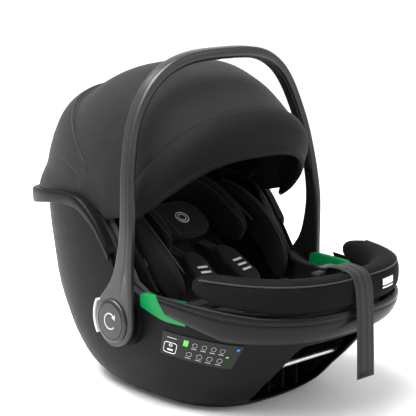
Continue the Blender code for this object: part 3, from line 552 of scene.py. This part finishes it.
def make_shell():
    """Rocking hull: one moulded wall, cut away at both ends for the latch bars."""
    levels = (0.0, 0.012, 0.03, 0.055, 0.085, 0.12, 0.16, 0.21, 0.27, 0.34, 0.42, 0.50, 0.58, 0.66,
              0.74, 0.82, 0.91, 1.0)
    wall, rim_gap, around = 0.004, 0.0105, 144
    rows = tub_rows(SHELL, -FLOOR_DROP, rim_gap, around, levels)
    inner = tub_rows(SHELL, wall - FLOOR_DROP, rim_gap, around, levels, -wall)
    mesh = mesh_of("hull_wall", rows + list(reversed(inner)), sharp=50)
    hull = put("hull_wall", mesh, SHELL_PP)
    tools = [barrel(0.044, sign * 0.1875, sign * 0.1970, (0.0, HUB_UP)) for sign in (1, -1)]
    cut(hull, tools, "UNION")
    front = block((2 * BAR_HALF, 0.212, 0.146), (0.0, 0.256, 0.028), 0.014)
    rear = block((2 * BAR_HALF, 0.064, 0.067), (0.0, -0.154, -0.0115), 0.010)
    cut(hull, [front, rear, barrel(PIN_HOLE, -0.25, 0.25, (0.0, HUB_UP))])
    modify(hull, "BEVEL", width=0.0008, segments=2, limit_method="ANGLE",
           angle_limit=math.radians(55))
    bake(hull)
    hull.data.shade_smooth()
    hull.data.set_sharp_from_angle(angle=math.radians(40))
    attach(hull, "shell")
    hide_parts("outer_shell")


def make_trim():
    """Rolled edge over the hull, deeper where it makes the carrying lip at the head."""
    rows = []
    steps = 150
    for k in range(steps + 1):
        angle = math.radians(mix(-176, -4, k / steps))
        angle -= 0.20 * math.sin(2 * angle)
        forward = wall_point(SHELL, angle, RIM_LEVEL)[1]
        top = rim_up(forward)
        lip = 0.0036 + 0.033 * max(0.0, (-forward - 0.140) / 0.150) ** 1.5
        skirt = curve_value([(-0.300, 0.028), (-0.150, 0.019), (0.0, 0.014)], forward)

        def at(outward, up):
            return place(*wall_point(SHELL, angle, up, outward))

        r = 0.0034
        edge = [(-0.013, top + 0.0005), (lip - 2 * r, top + 0.0010), (lip - 0.9 * r, top + 0.0007),
                (lip - 0.3 * r, top - 0.3 * r), (lip, top - 1.0 * r),
                (lip + 0.0004, top - 0.4 * skirt),
                (lip, top - skirt + 0.0016), (lip - 0.0008, top - skirt),
                (lip - 0.0022, top - skirt), (lip - 0.0028, top - skirt + 0.0014),
                (lip - 0.0030, top - 0.0044), (lip - 0.0044, top - 0.0030), (-0.013, top - 0.0030)]
        rows.append([at(*p) for p in edge])
    trim = put("rim_roll", mesh_of("rim_roll", rows, sharp=60), TRIM_ABS, "shell")
    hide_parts("rim_trim")


def make_collar():
    """Wide collar round the foot end, with a fine parting line under its top edge."""
    rows = []
    steps = 110
    for k in range(steps + 1):
        share = k / steps
        top_angle = math.radians(mix(9.0, 171.0, share))
        low_angle = math.radians(mix(12.0, 168.0, share))
        middle = math.sin(math.pi * share)
        top = mix(0.168, 0.158, min(1.0, middle * 1.4))
        low = mix(0.139, 0.113, min(1.0, middle * 2.2))
        section = []
        for up, outward in ((0.0, 0.0046), (-0.002, 0.0062), (0.02, 0.0082), (0.18, 0.0098),
                            (0.35, 0.0105), (0.55, 0.0109), (0.72, 0.0109), (0.745, 0.0100),
                            (0.77, 0.0108), (0.88, 0.0102), (0.97, 0.0090), (1.0, 0.0074),
                            (1.0, 0.0048), (0.5, 0.0046)):
            angle = mix(low_angle, top_angle, up)
            section.append(place(*wall_point(SHELL, angle, mix(low, top, up), outward)))
        rows.append(section)
    collar = put("foot_collar", mesh_of("foot_collar", rows, sharp=65), BAND_ABS, "shell")
    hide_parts("front_band")


def make_belt_guides():
    """Green saddles on the side rims, in a rounded channel section."""
    for side, sign in SIDES:
        rows = []
        steps = 36
        for k in range(steps + 1):
            share = k / steps
            angle = math.radians(mix(3.6, 19.0, share))
            skirt = mix(0.010, 0.024, math.sin(math.pi * min(1.0, share * 1.6) / 2))
            end = min(1.0, min(share, 1 - share) * 14)
            crown = 0.1600 + 0.003 * end

            def at(inset, up):
                x, f, z = wall_point(SHELL, angle, up, -inset)
                return place(sign * x, f, z)

            base = 0.150
            rows.append([at(0.0075, crown - 0.0018), at(0.0060, crown - 0.0003), at(0.0020, crown),
                         at(-0.0020, crown - 0.0004), at(-0.0034, crown - 0.0018),
                         at(-0.0037, crown - 0.0040), at(-0.0037, base - skirt + 0.001),
                         at(-0.0030, base - skirt), at(-0.0012, base - skirt), at(-0.0008, 0.1525),
                         at(0.0050, 0.1525), at(0.0050, base - 0.012), at(0.0075, base - 0.012)])
        name = "belt_saddle_" + side
        saddle = put(name, mesh_of(name, rows, sharp=55), GREEN_PP, "shell")
        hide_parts("belt_guide_" + side)


# ------------------------------------------------------------------ handle
def arch_point(share):
    """Middle line of the arch: across, up, outward normal and rise above the hubs."""
    if share < 0:
        return HANDLE_HALF, HUB_UP + share * LEG_BOSS, (1.0, 0.0), share * LEG_BOSS
    c, s = oval(math.pi / 2 * share, HANDLE_POWER)
    x, rise = HANDLE_HALF * c, HANDLE_REACH * s
    nx = (abs(x) / HANDLE_HALF) ** (HANDLE_POWER - 1) / HANDLE_HALF
    nz = (rise / HANDLE_REACH) ** (HANDLE_POWER - 1) / HANDLE_REACH
    size = math.hypot(nx, nz)
    return x, HUB_UP + rise, (nx / size, nz / size), rise


def arch_depth(rise):
    """Middle and depth of the arch's section, front to back, at a rise above the hubs."""
    if rise <= 0:
        return 0.0, 2 * math.sqrt(max(LEG_BOSS ** 2 - rise ** 2, 0.000012))
    middle = curve_value([(0, 0.0), (0.030, 0.0035), (0.060, 0.016), (0.090, 0.023),
                          (0.150, 0.028), (0.250, 0.018), (0.320, 0.010), (0.380, 0.012),
                          (0.405, 0.018)], rise)
    depth = curve_value([(0, 0.084), (0.030, 0.076), (0.060, 0.050), (0.090, 0.037),
                         (0.150, 0.028), (0.250, 0.025), (0.420, 0.027)], rise)
    return middle, depth


def arch_mesh(name, section, low, fine=90):
    """Both halves of the arch, from sections at shares of one half, low being the first."""
    shares = [-math.cos(math.radians(a)) for a in (2, 8, 16, 26, 38, 50, 64, 78)]
    shares = [s for s in shares + [k / fine for k in range(fine + 1)] if s >= low]
    half = [section(s) for s in shares]
    other = [[(-x, f, z) for x, f, z in row] for row in reversed(half[:-1])]
    return mesh_of(name, [[place(*p) for p in row] for row in half + other], sharp=50)


def arch_thickness(rise):
    """Thickness of the arch across its width."""
    return curve_value([(0, 0.0125), (0.10, 0.0130), (0.30, 0.0150), (0.42, 0.0170)], rise)


def make_handle():
    """Arched handle with a parting groove along its front outer edge."""
    def section(share):
        x, up, (nx, nz), rise = arch_point(share)
        middle, depth = arch_depth(rise)
        thick = arch_thickness(rise)
        corner = min(0.0055, thick * 0.42, depth * 0.42)
        ring = rounded(thick / 2, depth / 2, corner, 7)
        groove = 0.0011 * min(1.0, max(0.0, (share - 0.02) / 0.03))
        line = [(thick / 2, depth * 0.16 - 0.0012), (thick / 2 - groove, depth * 0.16),
                (thick / 2, depth * 0.16 + 0.0012)]
        ring = ring[1:] + [(thick / 2, 0.0)] + line + [ring[0]]
        return [(x + a * nx, middle + b, up + a * nz) for a, b in ring]

    handle = put("handle_arch", arch_mesh("handle_arch", section, -1.0), HANDLE_NYLON)
    cut(handle, [barrel(PIN_HOLE, -0.26, 0.26, (0.0, HUB_UP), 32)])
    handle.data.shade_smooth()
    handle.data.set_sharp_from_angle(angle=math.radians(38))
    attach(handle, "handle")
    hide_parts("carry_handle")

    def lining(share):
        x, up, (nx, nz), rise = arch_point(share)
        middle, depth = arch_depth(rise)
        thick = arch_thickness(rise)
        rib = 0.0003 * math.sin(share * 420)
        side = [(0.0003, 0.33), (0.0016 + rib, 0.31), (0.0022 + rib, 0.22)]
        ring = [(0.0003, -0.33)] + side + [(proud, -b) for proud, b in side[:0:-1]]
        return [(x - (thick / 2 + proud) * nx, middle + b * depth, up - (thick / 2 + proud) * nz)
                for proud, b in ring]

    strip = put("grip_lining", arch_mesh("grip_lining", lining, 0.20, 240), GRIP_RUBBER, "handle")
    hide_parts("handle_lining")


def make_release_buttons():
    """Pale crescents behind the hubs: a slide under the leg and a thumb face beside it."""
    for side, sign in SIDES:
        rows = []
        for k in range(25):
            t = math.radians(mix(150, 214, k / 24))
            rows.append([place(sign * x, r * math.cos(t), HUB_UP + r * math.sin(t))
                         for r, x in ((0.0362, 0.1976), (0.0522, 0.1976), (0.0526, 0.1990),
                                      (0.0526, 0.2138), (0.0515, 0.2150), (0.0486, 0.2150),
                                      (0.0474, 0.2138), (0.0474, 0.2034), (0.0362, 0.2034))])
        name = "release_crescent_" + side
        button = put(name, mesh_of(name, rows, sharp=40), GREY_ABS, "handle_button_" + side)
        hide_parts("handle_button_" + side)


def hub_details():
    """Ring groove and a plain turn mark on each hub cap, in a lighter moulded inlay."""
    for side, sign in SIDES:
        face = 0.2224                # outer face of the hub cap

        def ring(name, radius, wire, look, low=0.0, high=360.0, out=0.0):
            steps = 72
            points = [place(sign * (face + out), radius * math.cos(math.radians(t)),
                            HUB_UP + radius * math.sin(math.radians(t)))
                      for t in (mix(low, high, k / steps) for k in range(steps + 1))]
            rod(name + side, points, wire, look, "handle")

        ring("hub_rim_ring_", 0.0292, 0.0007, TRIM_ABS, out=-0.0002)
        ring("hub_turn_mark_", 0.0125, 0.0011, GREY_ABS, 40, 320, 0.0002)
        tip = math.radians(40)
        spot = (0.0125 * math.cos(tip), HUB_UP + 0.0125 * math.sin(tip))
        shape = [(-0.0048, -0.0010), (0.0030, -0.0046), (0.0034, 0.0044)]
        rows = [[place(sign * x, spot[0] + a, spot[1] + b) for a, b in shape]
                for x in (face - 0.0006, face + 0.0009)]
        name = "hub_turn_arrow_" + side
        put(name, mesh_of(name, rows, sharp=30), GREY_ABS, "handle")


# ------------------------------------------------------------------ canopy
def canopy_place(turn, lean, half=0.1780):
    """Cloth surface: turn runs across, lean in degrees turns about the pivot."""
    c, s = oval(turn, curve_value([(34, 2.5), (60, 2.55), (90, 2.8), (131, 3.0)], lean))
    reach = curve_value(CANOPY, lean) * s
    a = math.radians(lean)
    return (half * c, PIVOT[0] + reach * math.cos(a), PIVOT[1] + reach * math.sin(a))


def canopy_turns(count, edge=5.0):
    """Turns across the canopy, from edge degrees on one side to edge degrees on the other."""
    return [math.radians(mix(edge, 180 - edge, k / count)) for k in range(count + 1)]


def visor_line(share, edge=2.0, tuck=0.0):
    """Line across the visor: share 0 at the hanging edge, 1 where it joins the canopy."""
    row = []
    for turn in canopy_turns(CLOTH_COLUMNS, edge):
        c, s = oval(turn, mix(3.0, 2.5, share))
        low = (0.060 + 0.125 * s ** 1.5, -0.046 + 0.104 * s ** 2)
        top = (0.053 + 0.1145 * s, -0.008 + 0.138 * s)
        swell = 0.006 * math.sin(math.pi * share) - tuck
        row.append((c * (0.172 - tuck), PIVOT[0] + mix(low[0], top[0], share) + swell,
                    PIVOT[1] + mix(low[1], top[1], share)))
    return row


def hem_point(across):
    """Place on the canopy's hem, just above the trim's outer edge."""
    half = curve_value(SHELL["half"], 0.27) + 0.006
    reach = curve_value(SHELL["rear"], 0.27) + 0.026
    forward = -reach * (1 - min(1.0, abs(across) / half) ** PLAN_POWER) ** (1 / PLAN_POWER)
    return across, forward, rim_up(forward + 0.020) + 0.0012


def sheet_area(mesh):
    """Area of a cloth grid before it is given thickness."""
    bm = bmesh.new()
    bm.from_mesh(mesh)
    area = sum(face.calc_area() for face in bm.faces)
    bm.free()
    return area


def make_canopy():
    """One continuous cloth over the bows, from the hem on the rim to the visor's seam."""
    rows = [visor_line(0.90, 5.0, 0.0045), visor_line(1.0, 5.0, 0.0030)]
    leans = [56, 62, 68, 74, 80, 86, 92, 98, 104, 110, 116, 121, 125, 128, 129.6, 131.4, 132, 134,
             137, 141, 146, 151, 156, 161, 166, 171, 175]
    for lean in leans:
        rows.append([canopy_place(turn, lean) for turn in canopy_turns(CLOTH_COLUMNS)])
    last = rows[-1]
    hem = [hem_point(p[0]) for p in last]
    for share in (0.25, 0.5, 0.75, 1.0):
        bow = 0.004 * math.sin(math.pi * share)
        rows.append([(mix(a[0], b[0], share), mix(a[1], b[1], share) - bow, mix(a[2], b[2], share))
                     for a, b in zip(last, hem)])
    skirted = []
    for lean, row in zip([34, 38] + leans + [177.5, 178.5, 179.5, 181], rows):
        a = math.radians(lean)
        drop = curve_value([(34, 0.019), (56, 0.044), (90, 0.040), (130, 0.036), (160, 0.026),
                            (177, 0.022), (181, 0.0)], lean)
        x, f, z = row[0]
        skirt = [(x + 0.0015 * math.sin(math.pi * share), f + 0.012 * share * math.cos(a),
                  z - (drop + 0.030 * math.sin(a)) * share) for share in (0.34, 0.67, 1.0)]
        skirted.append(skirt[::-1] + row + [(-x, f, z) for x, f, z in skirt])
    mesh = mesh_of("canopy_cloth", [[place(*p) for p in row] for row in skirted], closed=False)
    area = sheet_area(mesh)
    cloth = put("canopy_cloth", mesh, CANOPY_CLOTH)
    modify(cloth, "SOLIDIFY", thickness=0.0014, offset=0.0)
    modify(cloth, "SUBSURF", levels=1, render_levels=1)
    bake(cloth)
    cloth.data.shade_smooth()
    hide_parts("canopy_front_panel", "canopy_mid_panel", "canopy_rear_panel")
    for name, lean, radius in (("canopy_pleat_seam", 131.4, 0.0011),
                               ("canopy_back_seam", 158, 0.0008)):
        line = [place(*canopy_place(turn, lean, 0.1786)) for turn in canopy_turns(CLOTH_COLUMNS)]
        rod(name, line, radius, PIPING_CLOTH_PAINTED_HIGHLIGHT, "shell", 6)
    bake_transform(cloth)


def make_visor():
    """Padded peak sewn to the canopy's front edge, with a bound hanging edge."""
    puffing = [(0.0, 0.0010), (0.05, 0.0030), (0.11, 0.0008), (0.17, 0.0014), (0.35, 0.0062),
               (0.60, 0.0088), (0.85, 0.0058), (1.0, 0.0)]
    outer, inner, thickness = [], [], 0.0040
    for share in (0.0, 0.035, 0.07, 0.11, 0.15, 0.22, 0.32, 0.44, 0.56, 0.68, 0.79, 0.88, 0.95,
                  1.0):
        bulge = curve_value(puffing, share)
        for skin, out in ((outer, bulge), (inner, -thickness)):
            skin.append([(x * (1 + out / 0.17), f + out, z + out * 0.4)
                         for x, f, z in visor_line(share)])
    columns = list(zip(*(outer + inner[::-1])))
    mesh = mesh_of("canopy_peak", [[place(*p) for p in column] for column in columns], sharp=80)
    peak = put("canopy_peak", mesh, VISOR_CLOTH, "canopy_front")
    modify(peak, "SUBSURF", levels=1, render_levels=1)
    bake(peak)
    peak.data.shade_smooth()
    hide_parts("canopy_visor")
    low = [place(x, f - 0.001, z - 0.001) for x, f, z in visor_line(0.0)]
    rod("peak_binding", low, 0.0012, VISOR_CLOTH, "canopy_front")


# ------------------------------------------------------------------ padded pieces
def soft_loft(name, rows, look, body, node, voxel, pressure, limit):
    """Filled pad from rings of points; node is the CAD piece it stands for, if any."""
    piece = put(name, mesh_of(name, rows), look)
    puff(piece, voxel, pressure, limit)
    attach(piece, body)
    if node is not None:
        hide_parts(node)
    return piece


def side_steps(line):
    """Unit steps square to a flat line, one at each of its points."""
    last = len(line) - 1
    out = []
    for k in range(last + 1):
        (a0, b0), (a1, b1) = line[max(k - 1, 0)], line[min(k + 1, last)]
        size = math.hypot(a1 - a0, b1 - b0)
        out.append(((b1 - b0) / size, (a0 - a1) / size))
    return out


def make_bumper():
    """Padded roll on the foot end: flat outer face, rounded top and a piped seam."""
    level = 0.165                # height at which the wall's plan is followed
    first = math.radians(20)
    steps = 60
    rows = []
    for k in range(steps + 1):
        share = k / steps
        angle = mix(first, math.pi - first, share)
        end = min(share, 1 - share) * steps / 2
        size = min(1.0, 0.45 + 0.55 * math.sqrt(min(1.0, end / 2.2)))
        middle = min(1.0, math.sin(math.pi * share) * 1.4)
        base = mix(0.1685, 0.1590, middle)
        half_up = (0.2105 - base) / 2
        row = []
        for a, b in rounded(0.0215, half_up, 0.0165, 5):
            x, f, z = wall_point(SHELL, angle, level, a * size - 0.0125)
            row.append(place(x, f, base + half_up + b * size))
        rows.append(row)
    roll = soft_loft("foot_bumper", rows, BUMPER_CLOTH, "shell",
                     "foot_bumper_pad", 0.0045, 3.0, 0.003)
    seam = []
    for k in range(121):
        angle = mix(math.radians(24), math.radians(156), k / 120)
        x, f, z = wall_point(SHELL, angle, level, 0.0052)
        seam.append(place(x, f, 0.2045))
    rod("bumper_piping", seam, PIPING, PIPING_CLOTH_PAINTED_HIGHLIGHT, "shell")
    for index, (low, high) in enumerate(((0.1825, 0.1930), (0.1775, 0.1800))):
        rows = []
        for up in (low, high):
            rows.append([place(*wall_point(SHELL, math.radians(mix(74.0, 82.0, k / 6)), level,
                                           0.0102)[:2], up) for k in range(7)])
        thin_print("bumper_patch_%d" % index, rows, WHITE_PRINT, 0.0006, roll)


def make_seat_cover():
    """Inner padded tub of the seat, with its binding round the opening."""
    inset, thickness = 0.0135, 0.008
    raised = {key: [(z + inset, v) for z, v in LINER[key]] for key in LINER}
    levels = (0.0, 0.06, 0.12, 0.19, 0.26, 0.35, 0.44, 0.53, 0.62, 0.72, 0.81, 0.91, 1.0)
    rows = tub_rows(raised, 0.050 + inset, 0.004, 110, levels, -inset)
    inner = tub_rows(raised, 0.050 + inset + thickness, 0.004, 110, levels, -inset - thickness)
    mesh = mesh_of("seat_cover_pad", rows + list(reversed(inner)), sharp=70)
    cover = put("seat_cover_pad", mesh, SEAT_KNIT, "shell")
    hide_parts("seat_cover")
    edge = [a.lerp(b, 0.5) for a, b in zip(rows[-1], inner[-1])]
    rod("cover_binding", edge + edge[:1], 0.0042, PIPING_CLOTH_PAINTED_HIGHLIGHT, "shell")


def make_insert():
    """Body pad: one cushion along the seat back and under the legs."""
    line = [(0.235, 0.166, 0.060), (0.200, 0.150, 0.076), (0.150, 0.129, 0.088),
            (0.095, 0.112, 0.098), (0.045, 0.106, 0.104), (-0.005, 0.123, 0.104),
            (-0.060, 0.156, 0.098), (-0.110, 0.187, 0.092), (-0.150, 0.210, 0.084)]
    path = smooth_path([(h, f, z) for f, z, h in line], 32)
    rows = []
    for k, (p, step) in enumerate(zip(path, side_steps([(p[1], p[2]) for p in path]))):
        end = min(1.0, 0.4 + 0.6 * math.sqrt(min(k, 32 - k) / 3))
        rows.append([place(a * (0.94 + 0.06 * end), p[1] + b * end * step[0],
                           p[2] + b * end * step[1])
                     for a, b in rounded(p[0], 0.0090, 0.0085, 5)])
    soft_loft("body_cushion", rows, SEAT_KNIT, "shell", "seat_insert", 0.0045, 3.0,
              0.002)
    for side, sign in SIDES:
        edge = [place(sign * (p[0] + 0.0010), p[1], p[2] + 0.002) for p in path[1:-1]]
        rod("body_cushion_piping_" + side, edge, PIPING, PIPING_CLOTH_PAINTED_HIGHLIGHT, "shell")


def horseshoe(half, turn_at, low):
    """Open loop on the seat back: two legs up from low and a half circle over them."""
    steps = 24
    path = [(half, mix(low, turn_at, k / 6)) for k in range(6)]
    path += [(half * math.cos(t), turn_at + half * math.sin(t))
             for t in (math.pi * k / steps for k in range(steps + 1))]
    return path + [(-half, mix(turn_at, low, (k + 1) / 6)) for k in range(6)]


def make_headrest():
    """Horseshoe bolster round the head, piped on both of its edges."""
    path = horseshoe(0.082, 0.185, 0.110)
    last = len(path) - 1
    rows = []
    for k, ((a, s), step) in enumerate(zip(path, side_steps(path))):
        end = min(1.0, 0.45 + 0.55 * math.sqrt(min(k, last - k) / 3))
        rows.append([place(*back_point(a + w * end * step[0], s + w * end * step[1],
                                       0.0735 + h * end))
                     for w, h in rounded(0.0125, 0.0320, 0.0115, 5)])
    soft_loft("head_bolster", rows, SEAT_KNIT, "headrest", "headrest", 0.0045, 3.0,
              0.002)
    for name, radius, above in (("head_bolster_piping_in", 0.0705, 0.1020),
                                ("head_bolster_piping_out", 0.0930, 0.1020)):
        points = [place(*back_point(a, s, above)) for a, s in horseshoe(radius, 0.185, 0.114)]
        rod(name, points, PIPING, PIPING_CLOTH_PAINTED_HIGHLIGHT, "headrest")


def make_wings():
    """Side wings of the body cushion: two padded lobes between the bolster and the tub."""
    for side, sign in SIDES:
        path = smooth_path([(0.112, 0.020, 0.066), (0.122, 0.060, 0.082), (0.127, 0.110, 0.092),
                            (0.126, 0.160, 0.095), (0.119, 0.205, 0.090),
                            (0.108, 0.240, 0.078)], 26)
        rows = []
        for k, p in enumerate(path):
            end = min(1.0, 0.35 + 0.65 * math.sqrt(min(k, 26 - k) / 5))
            rows.append([place(*back_point(sign * (p[0] + w * end), p[1], p[2] - 0.012 + h * end))
                         for w, h in rounded(0.0085, 0.0300, 0.0080, 5)])
        soft_loft("side_wing_" + side, rows, SEAT_KNIT, "shell", None, 0.0045, 3.0,
                  0.002)
        edge = [place(*back_point(sign * (p[0] - 0.0045), p[1], p[2] + 0.0165))
                for p in path[3:-3]]
        rod("side_wing_piping_" + side, edge, PIPING, PIPING_CLOTH_PAINTED_HIGHLIGHT, "shell")


def pad_point(centre, a, along, above, turn):
    """Place on the seat back, a across and along from a centre, turned about it."""
    return place(*back_point(centre[0] + a * math.cos(turn) - along * math.sin(turn),
                             centre[1] + a * math.sin(turn) + along * math.cos(turn), above))


def pad_rows(centre, size, turn=0.0):
    """Cushion on the seat back: centre (across, along, above), size in the same order."""
    steps, pinch = 20, 0.30
    rows = []
    for k in range(steps + 1):
        share = mix(-1.0, 1.0, k / steps)
        swell = max(pinch, (1 - abs(share) ** 4) ** 0.5)
        along = share * size[1] / 2
        rows.append([pad_point(centre, a, along, centre[2] + b, turn)
                     for a, b in rounded(size[0] / 2 * swell, size[2] / 2 * (0.5 + 0.5 * swell),
                                         size[2] / 2 * 0.48, 5)])
    return rows


def make_pads():
    """Head pad with a plain ring motif, and the two shoulder pads with their bars."""
    soft_loft("head_cushion", pad_rows((0.0, 0.185, 0.058), (0.108, 0.086, 0.018)), PAD_KNIT,
              "headrest", "head_pad", 0.004, 4.0, 0.003)
    for index, radius in enumerate((0.0120, 0.0072)):
        points = [place(*back_point(radius * math.cos(t), 0.180 + radius * math.sin(t), 0.0690))
                  for t in (2 * math.pi * k / 48 for k in range(49))]
        rod("head_cushion_ring_%d" % index, points, 0.0010, WHITE_PRINT, "headrest")
    for side, sign in SIDES:
        centre, size, turn = (sign * 0.040, 0.062, 0.057), (0.043, 0.097, 0.011), sign * 0.12
        soft_loft("shoulder_cushion_" + side, pad_rows(centre, size, turn), PAD_KNIT, "shell",
                  "shoulder_pad_" + side, 0.0035, 3.0, 0.002)
        for index in range(3):
            along = -0.018 + 0.012 * index
            rows = [[pad_point(centre, a, along + s, 0.0640, turn) for s in (-0.0022, 0.0022)]
                    for a in (-0.010, 0.010)]
            thin_print("shoulder_bar_%s_%d" % (side, index), rows, WHITE_PRINT, 0.0008)


# ------------------------------------------------------------------ harness and adjuster
def make_harness():
    """Straps on smooth lines, as woven webbing; the buckle stays the moulded part."""
    for side, sign in SIDES:
        strap = webbing("shoulder_webbing_" + side,
                        [back_point(sign * 0.034, 0.150, 0.0340),
                         back_point(sign * 0.036, 0.132, 0.0400),
                         back_point(sign * 0.038, 0.118, 0.0445),
                         back_point(sign * 0.039, 0.090, 0.0465),
                         back_point(sign * 0.038, 0.040, 0.0465), (sign * 0.030, 0.050, 0.1285),
                         (sign * 0.0200, 0.065, 0.1300), (sign * 0.0165, 0.0755, 0.1325)],
                        0.024, 0.0014, STRAP_WEBBING, "shell")
        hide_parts("shoulder_strap_" + side)
        strap = webbing("hip_webbing_" + side,
                        [(sign * 0.128, 0.060, 0.126), (sign * 0.110, 0.066, 0.1310),
                         (sign * 0.080, 0.074, 0.1335), (sign * 0.056, 0.0800, 0.1340),
                         (sign * 0.0320, 0.0850, 0.1340)], 0.024, 0.0014, HIP_WEBBING, "shell",
                        across=(0.0, 1.0, 0.0))
        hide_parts("hip_strap_" + side)
    strap = webbing("crotch_webbing", [(0.0, 0.1505, 0.1550), (0.0, 0.1650, 0.1585),
                                       (0.0, 0.1800, 0.1620), (0.0, 0.1920, 0.1650)],
                    0.030, 0.0016, STRAP_WEBBING, "shell")
    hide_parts("crotch_strap")
    points = [(0.0, 0.262, 0.1975), (0.0, 0.266, 0.2110), (0.0, 0.280, 0.2150),
              (0.0, 0.300, 0.2145), (0.0, 0.316, 0.2085), (0.0, 0.3245, 0.192),
              (0.0, 0.3285, 0.160), (0.0, 0.3300, 0.125), (0.0, 0.3315, 0.090),
              (0.0, 0.3325, 0.052)]
    strap = webbing("adjuster_webbing", points, 0.038, 0.0022, STRAP_WEBBING, "shell", steps=90)
    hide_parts("adjuster_strap")
    for index, lift in enumerate((0.004, 0.007)):
        line = [place(x, 0.3325 + 0.0016, 0.052 + lift) for x in (-0.0165, 0.0, 0.0165)]
        rod("strap_hem_stitch_%d" % index, line, 0.0005, THREAD, "shell", 6)


def make_label():
    """Generic panel print: an outlined seat icon, figures as plain rings, and short bars."""
    def at(across, up, lift=0.0022):
        angle = math.radians(mix(11.0, 46.0, across))
        low, top = mix(0.072, 0.062, across), mix(0.110, 0.106, across)
        x, f, z = wall_point(SHELL, angle, mix(low, top, up), lift)
        return place(-x, f, z)

    def bar(name, a0, a1, b0, b1, look):
        rows = [[at(mix(a0, a1, k / 6), b) for k in range(7)] for b in (b0, b1)]
        thin_print(name, rows, look, 0.0003)

    def loop(name, a, b, ra, rb, power, look, wire=0.0005):
        points = []
        for k in range(33):
            c, s = oval(2 * math.pi * k / 32, power)
            points.append(at(a + ra * c, b + rb * s))
        rod(name, points, wire, look, "shell", 6)

    loop("label_frame", 0.115, 0.36, 0.075, 0.23, 5.0, WHITE_PRINT)
    loop("label_frame_head", 0.115, 0.48, 0.018, 0.05, 2.0, WHITE_PRINT)
    bar("label_frame_seat", 0.085, 0.150, 0.24, 0.31, WHITE_PRINT)
    bar("label_title", 0.06, 0.17, 0.78, 0.82, GREY_PRINT)
    bar("label_square", 0.255, 0.315, 0.60, 0.86, LIME_PRINT)
    bar("label_blue", 0.93, 0.965, 0.80, 0.90, BLUE_PRINT)
    bar("label_lime", 0.84, 0.875, 0.46, 0.53, LIME_PRINT)
    for index, a in enumerate((0.40, 0.52, 0.64, 0.76)):
        loop("label_ring_top_%d" % index, a, 0.72, 0.030, 0.09, 2.0, GREY_PRINT, 0.0004)
        bar("label_mark_top_%d" % index, a - 0.035, a + 0.035, 0.55, 0.58, GREY_PRINT)
    for index, a in enumerate((0.36, 0.50, 0.64, 0.78)):
        loop("label_ring_low_%d" % index, a, 0.30, 0.034, 0.09, 2.6, GREY_PRINT, 0.0004)
        bar("label_mark_low_%d" % index, a - 0.040, a + 0.040, 0.12, 0.15, GREY_PRINT)


# ------------------------------------------------------------------ floor, light, camera
def make_stage():
    """Pale floor that curves up into a pale wall, soft boxes and the camera."""
    rows = []
    for x in (-6.0, 6.0):
        rows.append([Vector((x, y, z)) for y, z in ((-7.0, 0.0), (0.0, 0.0), (3.0, 0.0),
                                                    (4.2, 0.25), (4.9, 0.9), (5.2, 2.0),
                                                    (5.3, 6.0))])
    floor = put("studio_floor", mesh_of("studio_floor", rows, closed=False), FLOOR)
    azimuth, height = math.radians(-43), math.radians(12)
    floor.rotation_euler = (0.0, 0.0, azimuth)

    def soft_box(name, size, energy, where):
        lamp = bpy.data.lights.new(name, "AREA")
        lamp.shape = "RECTANGLE"
        lamp.size, lamp.size_y = size
        lamp.energy = energy
        holder = put(name, lamp)
        holder.location = where
        away = Vector(where) - Vector((0.0, 0.0, 0.25))
        holder.rotation_euler = away.to_track_quat("Z", "Y").to_euler()

    soft_box("key_box", (2.0, 2.0), 105.0, (-1.3, -0.2, 2.6))
    soft_box("fill_box", (1.8, 1.2), 16.0, (1.2, -2.4, 1.3))
    soft_box("top_box", (1.4, 1.4), 80.0, (-0.6, 0.9, 2.4))

    world = bpy.data.worlds.new("studio_air")
    bpy.context.scene.world = world
    world.use_nodes = True
    sky = world.node_tree.nodes["Background"]
    sky.inputs["Color"].default_value = linear("#ffffff")
    sky.inputs["Strength"].default_value = 0.88

    distance, shift = 2.3, 0.009857142857
    out = Vector((math.sin(azimuth) * math.cos(height), -math.cos(azimuth) * math.cos(height),
                  math.sin(height)))
    right = Vector((math.cos(azimuth), math.sin(azimuth), 0.0))
    up = out.cross(right)
    aim = Vector((0.0, 0.0, 0.280)) + (up - right) * shift
    lens = bpy.data.cameras.new("view_camera")
    lens.sensor_width = 36.0
    lens.lens = 121.153846154
    camera = put("view_camera", lens)
    camera.location = aim + out * distance
    camera.rotation_euler = (camera.location - aim).to_track_quat("Z", "Y").to_euler()
    bpy.context.scene.camera = camera
    bpy.context.scene.view_settings.view_transform = "Standard"


make_stage()
make_shell()
make_trim()
make_collar()
make_belt_guides()
make_handle()
make_release_buttons()
hub_details()
make_canopy()
make_visor()
make_bumper()
make_seat_cover()
make_insert()
make_headrest()
make_wings()
make_pads()
make_harness()
make_label()
